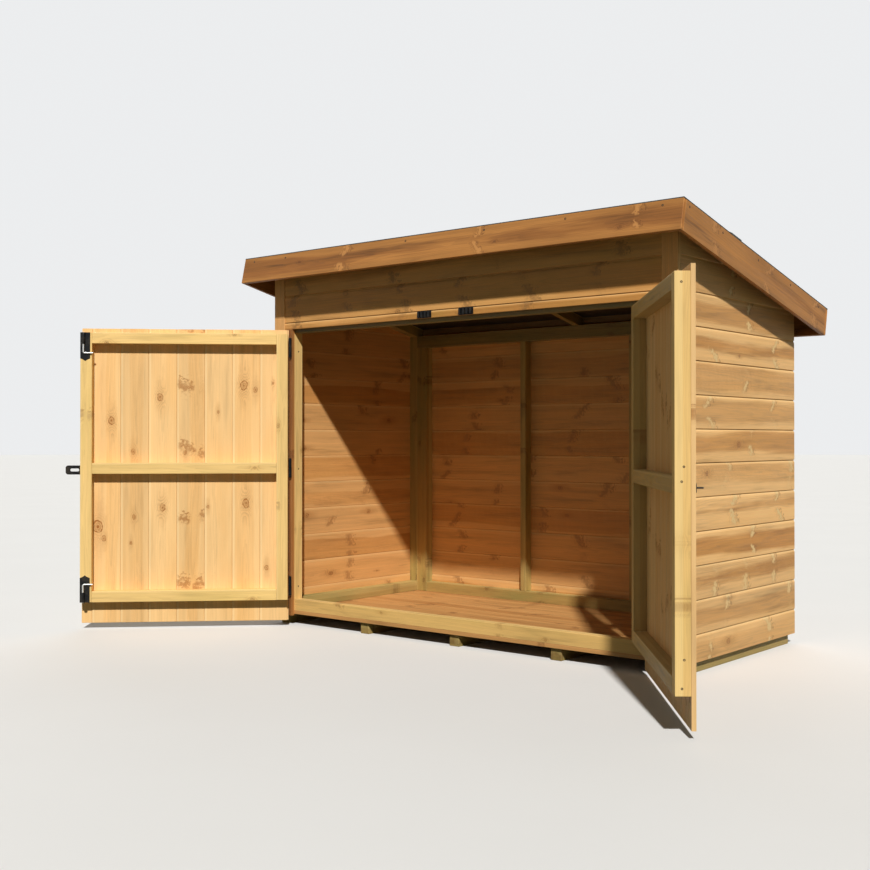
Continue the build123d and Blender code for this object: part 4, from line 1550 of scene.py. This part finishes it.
fascia, rear = whole("front_fascia", ROOF), whole("rear_fascia", ROOF)
level = fascia.high[2] - below_top
spots = [(x, fascia.low[1], level) for x in (-0.980, -0.790, -0.130, 0.245, 0.593, 0.966)]
heads("front_fascia_screws", ROOF, spots, (0, -1, 0), "store", FASCIA_SCREW)
for side, sign in SIDES.items():
    spots = [(sign * fascia.high[0], y, level) for y in (-0.845, -0.606, -0.325, -0.045, 0.225)]
    heads(f"{side}_fascia_screws", ROOF, spots, (sign, 0, 0), "store", FASCIA_SCREW)
spots = [(x, rear.high[1], rear.high[2] - below_top) for x in np.linspace(-0.98, 0.98, 6)]
heads("rear_fascia_screws", ROOF, spots, (0, 1, 0), "store", EDGE_SCREW)

for side in SIDES:
    place, body = DOOR[side], f"{side}_door"
    stile = solids(f"{side}_door_stiles", place)[1]
    edge, mid_w = stile.high[0], (stile.low[1] + stile.high[1]) / 2
    up = (0.135, 0.210, 0.675, 0.714, 1.198)
    spots = [(edge, mid_w + (-1) ** k * zigzag, z) for k, z in enumerate(up)]
    heads(f"{side}_door_edge_screws", place, spots, (1, 0, 0), body, EDGE_SCREW)
    outer_face = whole(f"{side}_door_boards", place).low[1]
    heights = [(r.low[2] + r.high[2]) / 2 for r in solids(f"{side}_door_rails", place)]
    columns = door_first_joint + board_cover * np.arange(-1, 7) + 0.5 * board_cover
    spots = [(u, outer_face, z) for u in columns if u < edge - stile_gap for z in heights]
    heads(f"{side}_door_face_screws", place, spots, (0, -1, 0), body, FACE_SCREW)
for side, sign in SIDES.items():
    post = whole(f"{side}_jamb_post")
    inner_x = post.high[0] if sign < 0 else post.low[0]
    spots = [(inner_x, (post.low[1] + post.high[1]) / 2, z) for z in (0.16, 0.66, 1.16)]
    heads(f"{side}_jamb_screws", STORE, spots, (-sign, 0, 0), "store", EDGE_SCREW)

# %% [markdown]
# ### Clout nails
#
# Felt is held by large flat nails about a hand's width apart, along all four edges and along the lap.

# %% Clout nails
nail_gap = 0.10
first_nail = 0.05
last_nail = 0.04
from_edge = 0.012
from_lap = 0.02
above_felt = 0.0007
above_lap = 0.0002

low, high = felt_box.low, felt_box.high
x_row, y_row = (np.arange(low[k] + first_nail, high[k] - last_nail, nail_gap) for k in (0, 1))
nail_top = low[2] + felt_sheet + above_felt
rows = [(x, y, nail_top) for x in x_row for y in (low[1] + from_edge, high[1] - from_edge)]
rows += [(x, y, nail_top) for y in y_row for x in (low[0] + from_edge, high[0] - from_edge)]
rows += [(x, split_line - from_lap, nail_top + felt_sheet + above_lap) for x in x_row]
heads("felt_clout_nails", ROOF, rows, (0, 0, 1), "store", CLOUT_NAIL, seed=5)
print("nails in the felt:", len(rows))

# %% [markdown]
# ## Camera
#
# The camera stands at the photograph's own place, found by fitting the straight edges of the store. Its
# focal length is given in pixels of an 870-pixel frame, and it stands low, at half the store's height.

# %% Camera
frame_pixels = 870
focal_pixels = 1203.68
optical_centre = (437.478, 429.349)
camera_place = (2.86947, -4.00125, 0.78561)
camera_heading = 39.613
camera_tilt = 0.476
camera = bpy.data.objects.new("camera", bpy.data.cameras.new("camera"))
bpy.context.scene.collection.objects.link(camera)
camera.data.sensor_width = 36.0
camera.data.lens = focal_pixels / frame_pixels * camera.data.sensor_width
camera.data.shift_x = (frame_pixels / 2 - optical_centre[0]) / frame_pixels
camera.data.shift_y = (optical_centre[1] - frame_pixels / 2) / frame_pixels
camera.location = camera_place
camera.rotation_euler = (math.radians(90 + camera_tilt), 0, math.radians(camera_heading))
bpy.context.scene.camera = camera
print("lens", round(camera.data.lens, 2), "mm")

# %% [markdown]
# ## Light and floor
#
# One key from the front right lights the store from the side that the sun had in the photograph. A wide,
# weak fill from behind reaches the walls that the photograph doesn't show, and an even sky the shade.
# The pale background is the colour of the floor and of the world. Only what the camera or a reflection
# sees of them is that pale: a white floor would throw light up under the roof and wash out the shade
# inside.

# %% Light and floor


def sun(name, energy, spread, colour, towards):
    """A sun lamp: it shines down its own z axis, which is tilted by the angle between the way towards the
    light and the upright, and then turned to the compass heading of that way."""
    lamp = bpy.data.objects.new(name, bpy.data.lights.new(name, "SUN"))
    bpy.context.scene.collection.objects.link(lamp)
    lamp.data.energy = energy
    lamp.data.angle = math.radians(spread)
    lamp.data.color = colour
    lamp.rotation_euler = (math.acos(towards[2]), 0, math.atan2(towards[0], -towards[1]))


sun("key", energy=3.85, spread=2, colour=(1.0, 0.98, 0.94), towards=(0.500, -0.556, 0.664))
sun("fill", energy=0.9, spread=50, colour=(0.94, 0.97, 1.0), towards=(-0.55, 0.70, 0.455))


def seen_directly(tree):
    """1 where a ray comes from the camera, a reflection or glass, and 0 where it only brings light."""
    path = add(tree, "ShaderNodeLightPath")
    kinds = ("Is Camera Ray", "Is Glossy Ray", "Is Transmission Ray")
    straight, mirrored, let_through = (Field(path.outputs[kind]) for kind in kinds)
    return straight.maths("MAXIMUM", mirrored).maths("MAXIMUM", let_through)


sky_light, pale_sky = (0.089, 0.087, 0.073, 1.0), (0.84, 0.85, 0.86, 1.0)
floor_light = (0.086, 0.098, 0.060, 1.0)
pale_floor, paler_floor = (0.79, 0.79, 0.79, 1.0), (0.82, 0.82, 0.82, 1.0)
ground_size, ground_sides = 60.0, 64
world = bpy.data.worlds.new("studio")
bpy.context.scene.world = world
world.use_nodes = True
sky = world.node_tree
put(blended(seen_directly(sky), sky_light, pale_sky), sky.nodes["Background"].inputs["Color"])

ground_mesh = bpy.data.meshes.new("studio_floor")
rim = np.pad(circle(ground_sides) * ground_size, ((0, 0), (0, 1)))
ground_mesh.from_pydata(rim.tolist(), [], [list(range(ground_sides))])
ground = bpy.data.objects.new("studio_floor", ground_mesh)
bpy.context.scene.collection.objects.link(ground)
floor_paint, paint, paint_shader = blank("floor_paint")
paint_shader.inputs["Roughness"].default_value = 0.9
paint_shader.inputs["Specular IOR Level"].default_value = 0.1
mottle = noise(Field(add(paint, "ShaderNodeTexCoord").outputs["Object"]), 1.5, 3.0)
pale = blended(mottle, pale_floor, paler_floor)
put(blended(seen_directly(paint), floor_light, pale), paint_shader.inputs["Base Color"])
ground_mesh.materials.append(floor_paint)
bpy.context.scene.view_settings.view_transform = "Standard"
print("lamps:", [o.name for o in bpy.context.scene.objects if o.type == "LIGHT"])
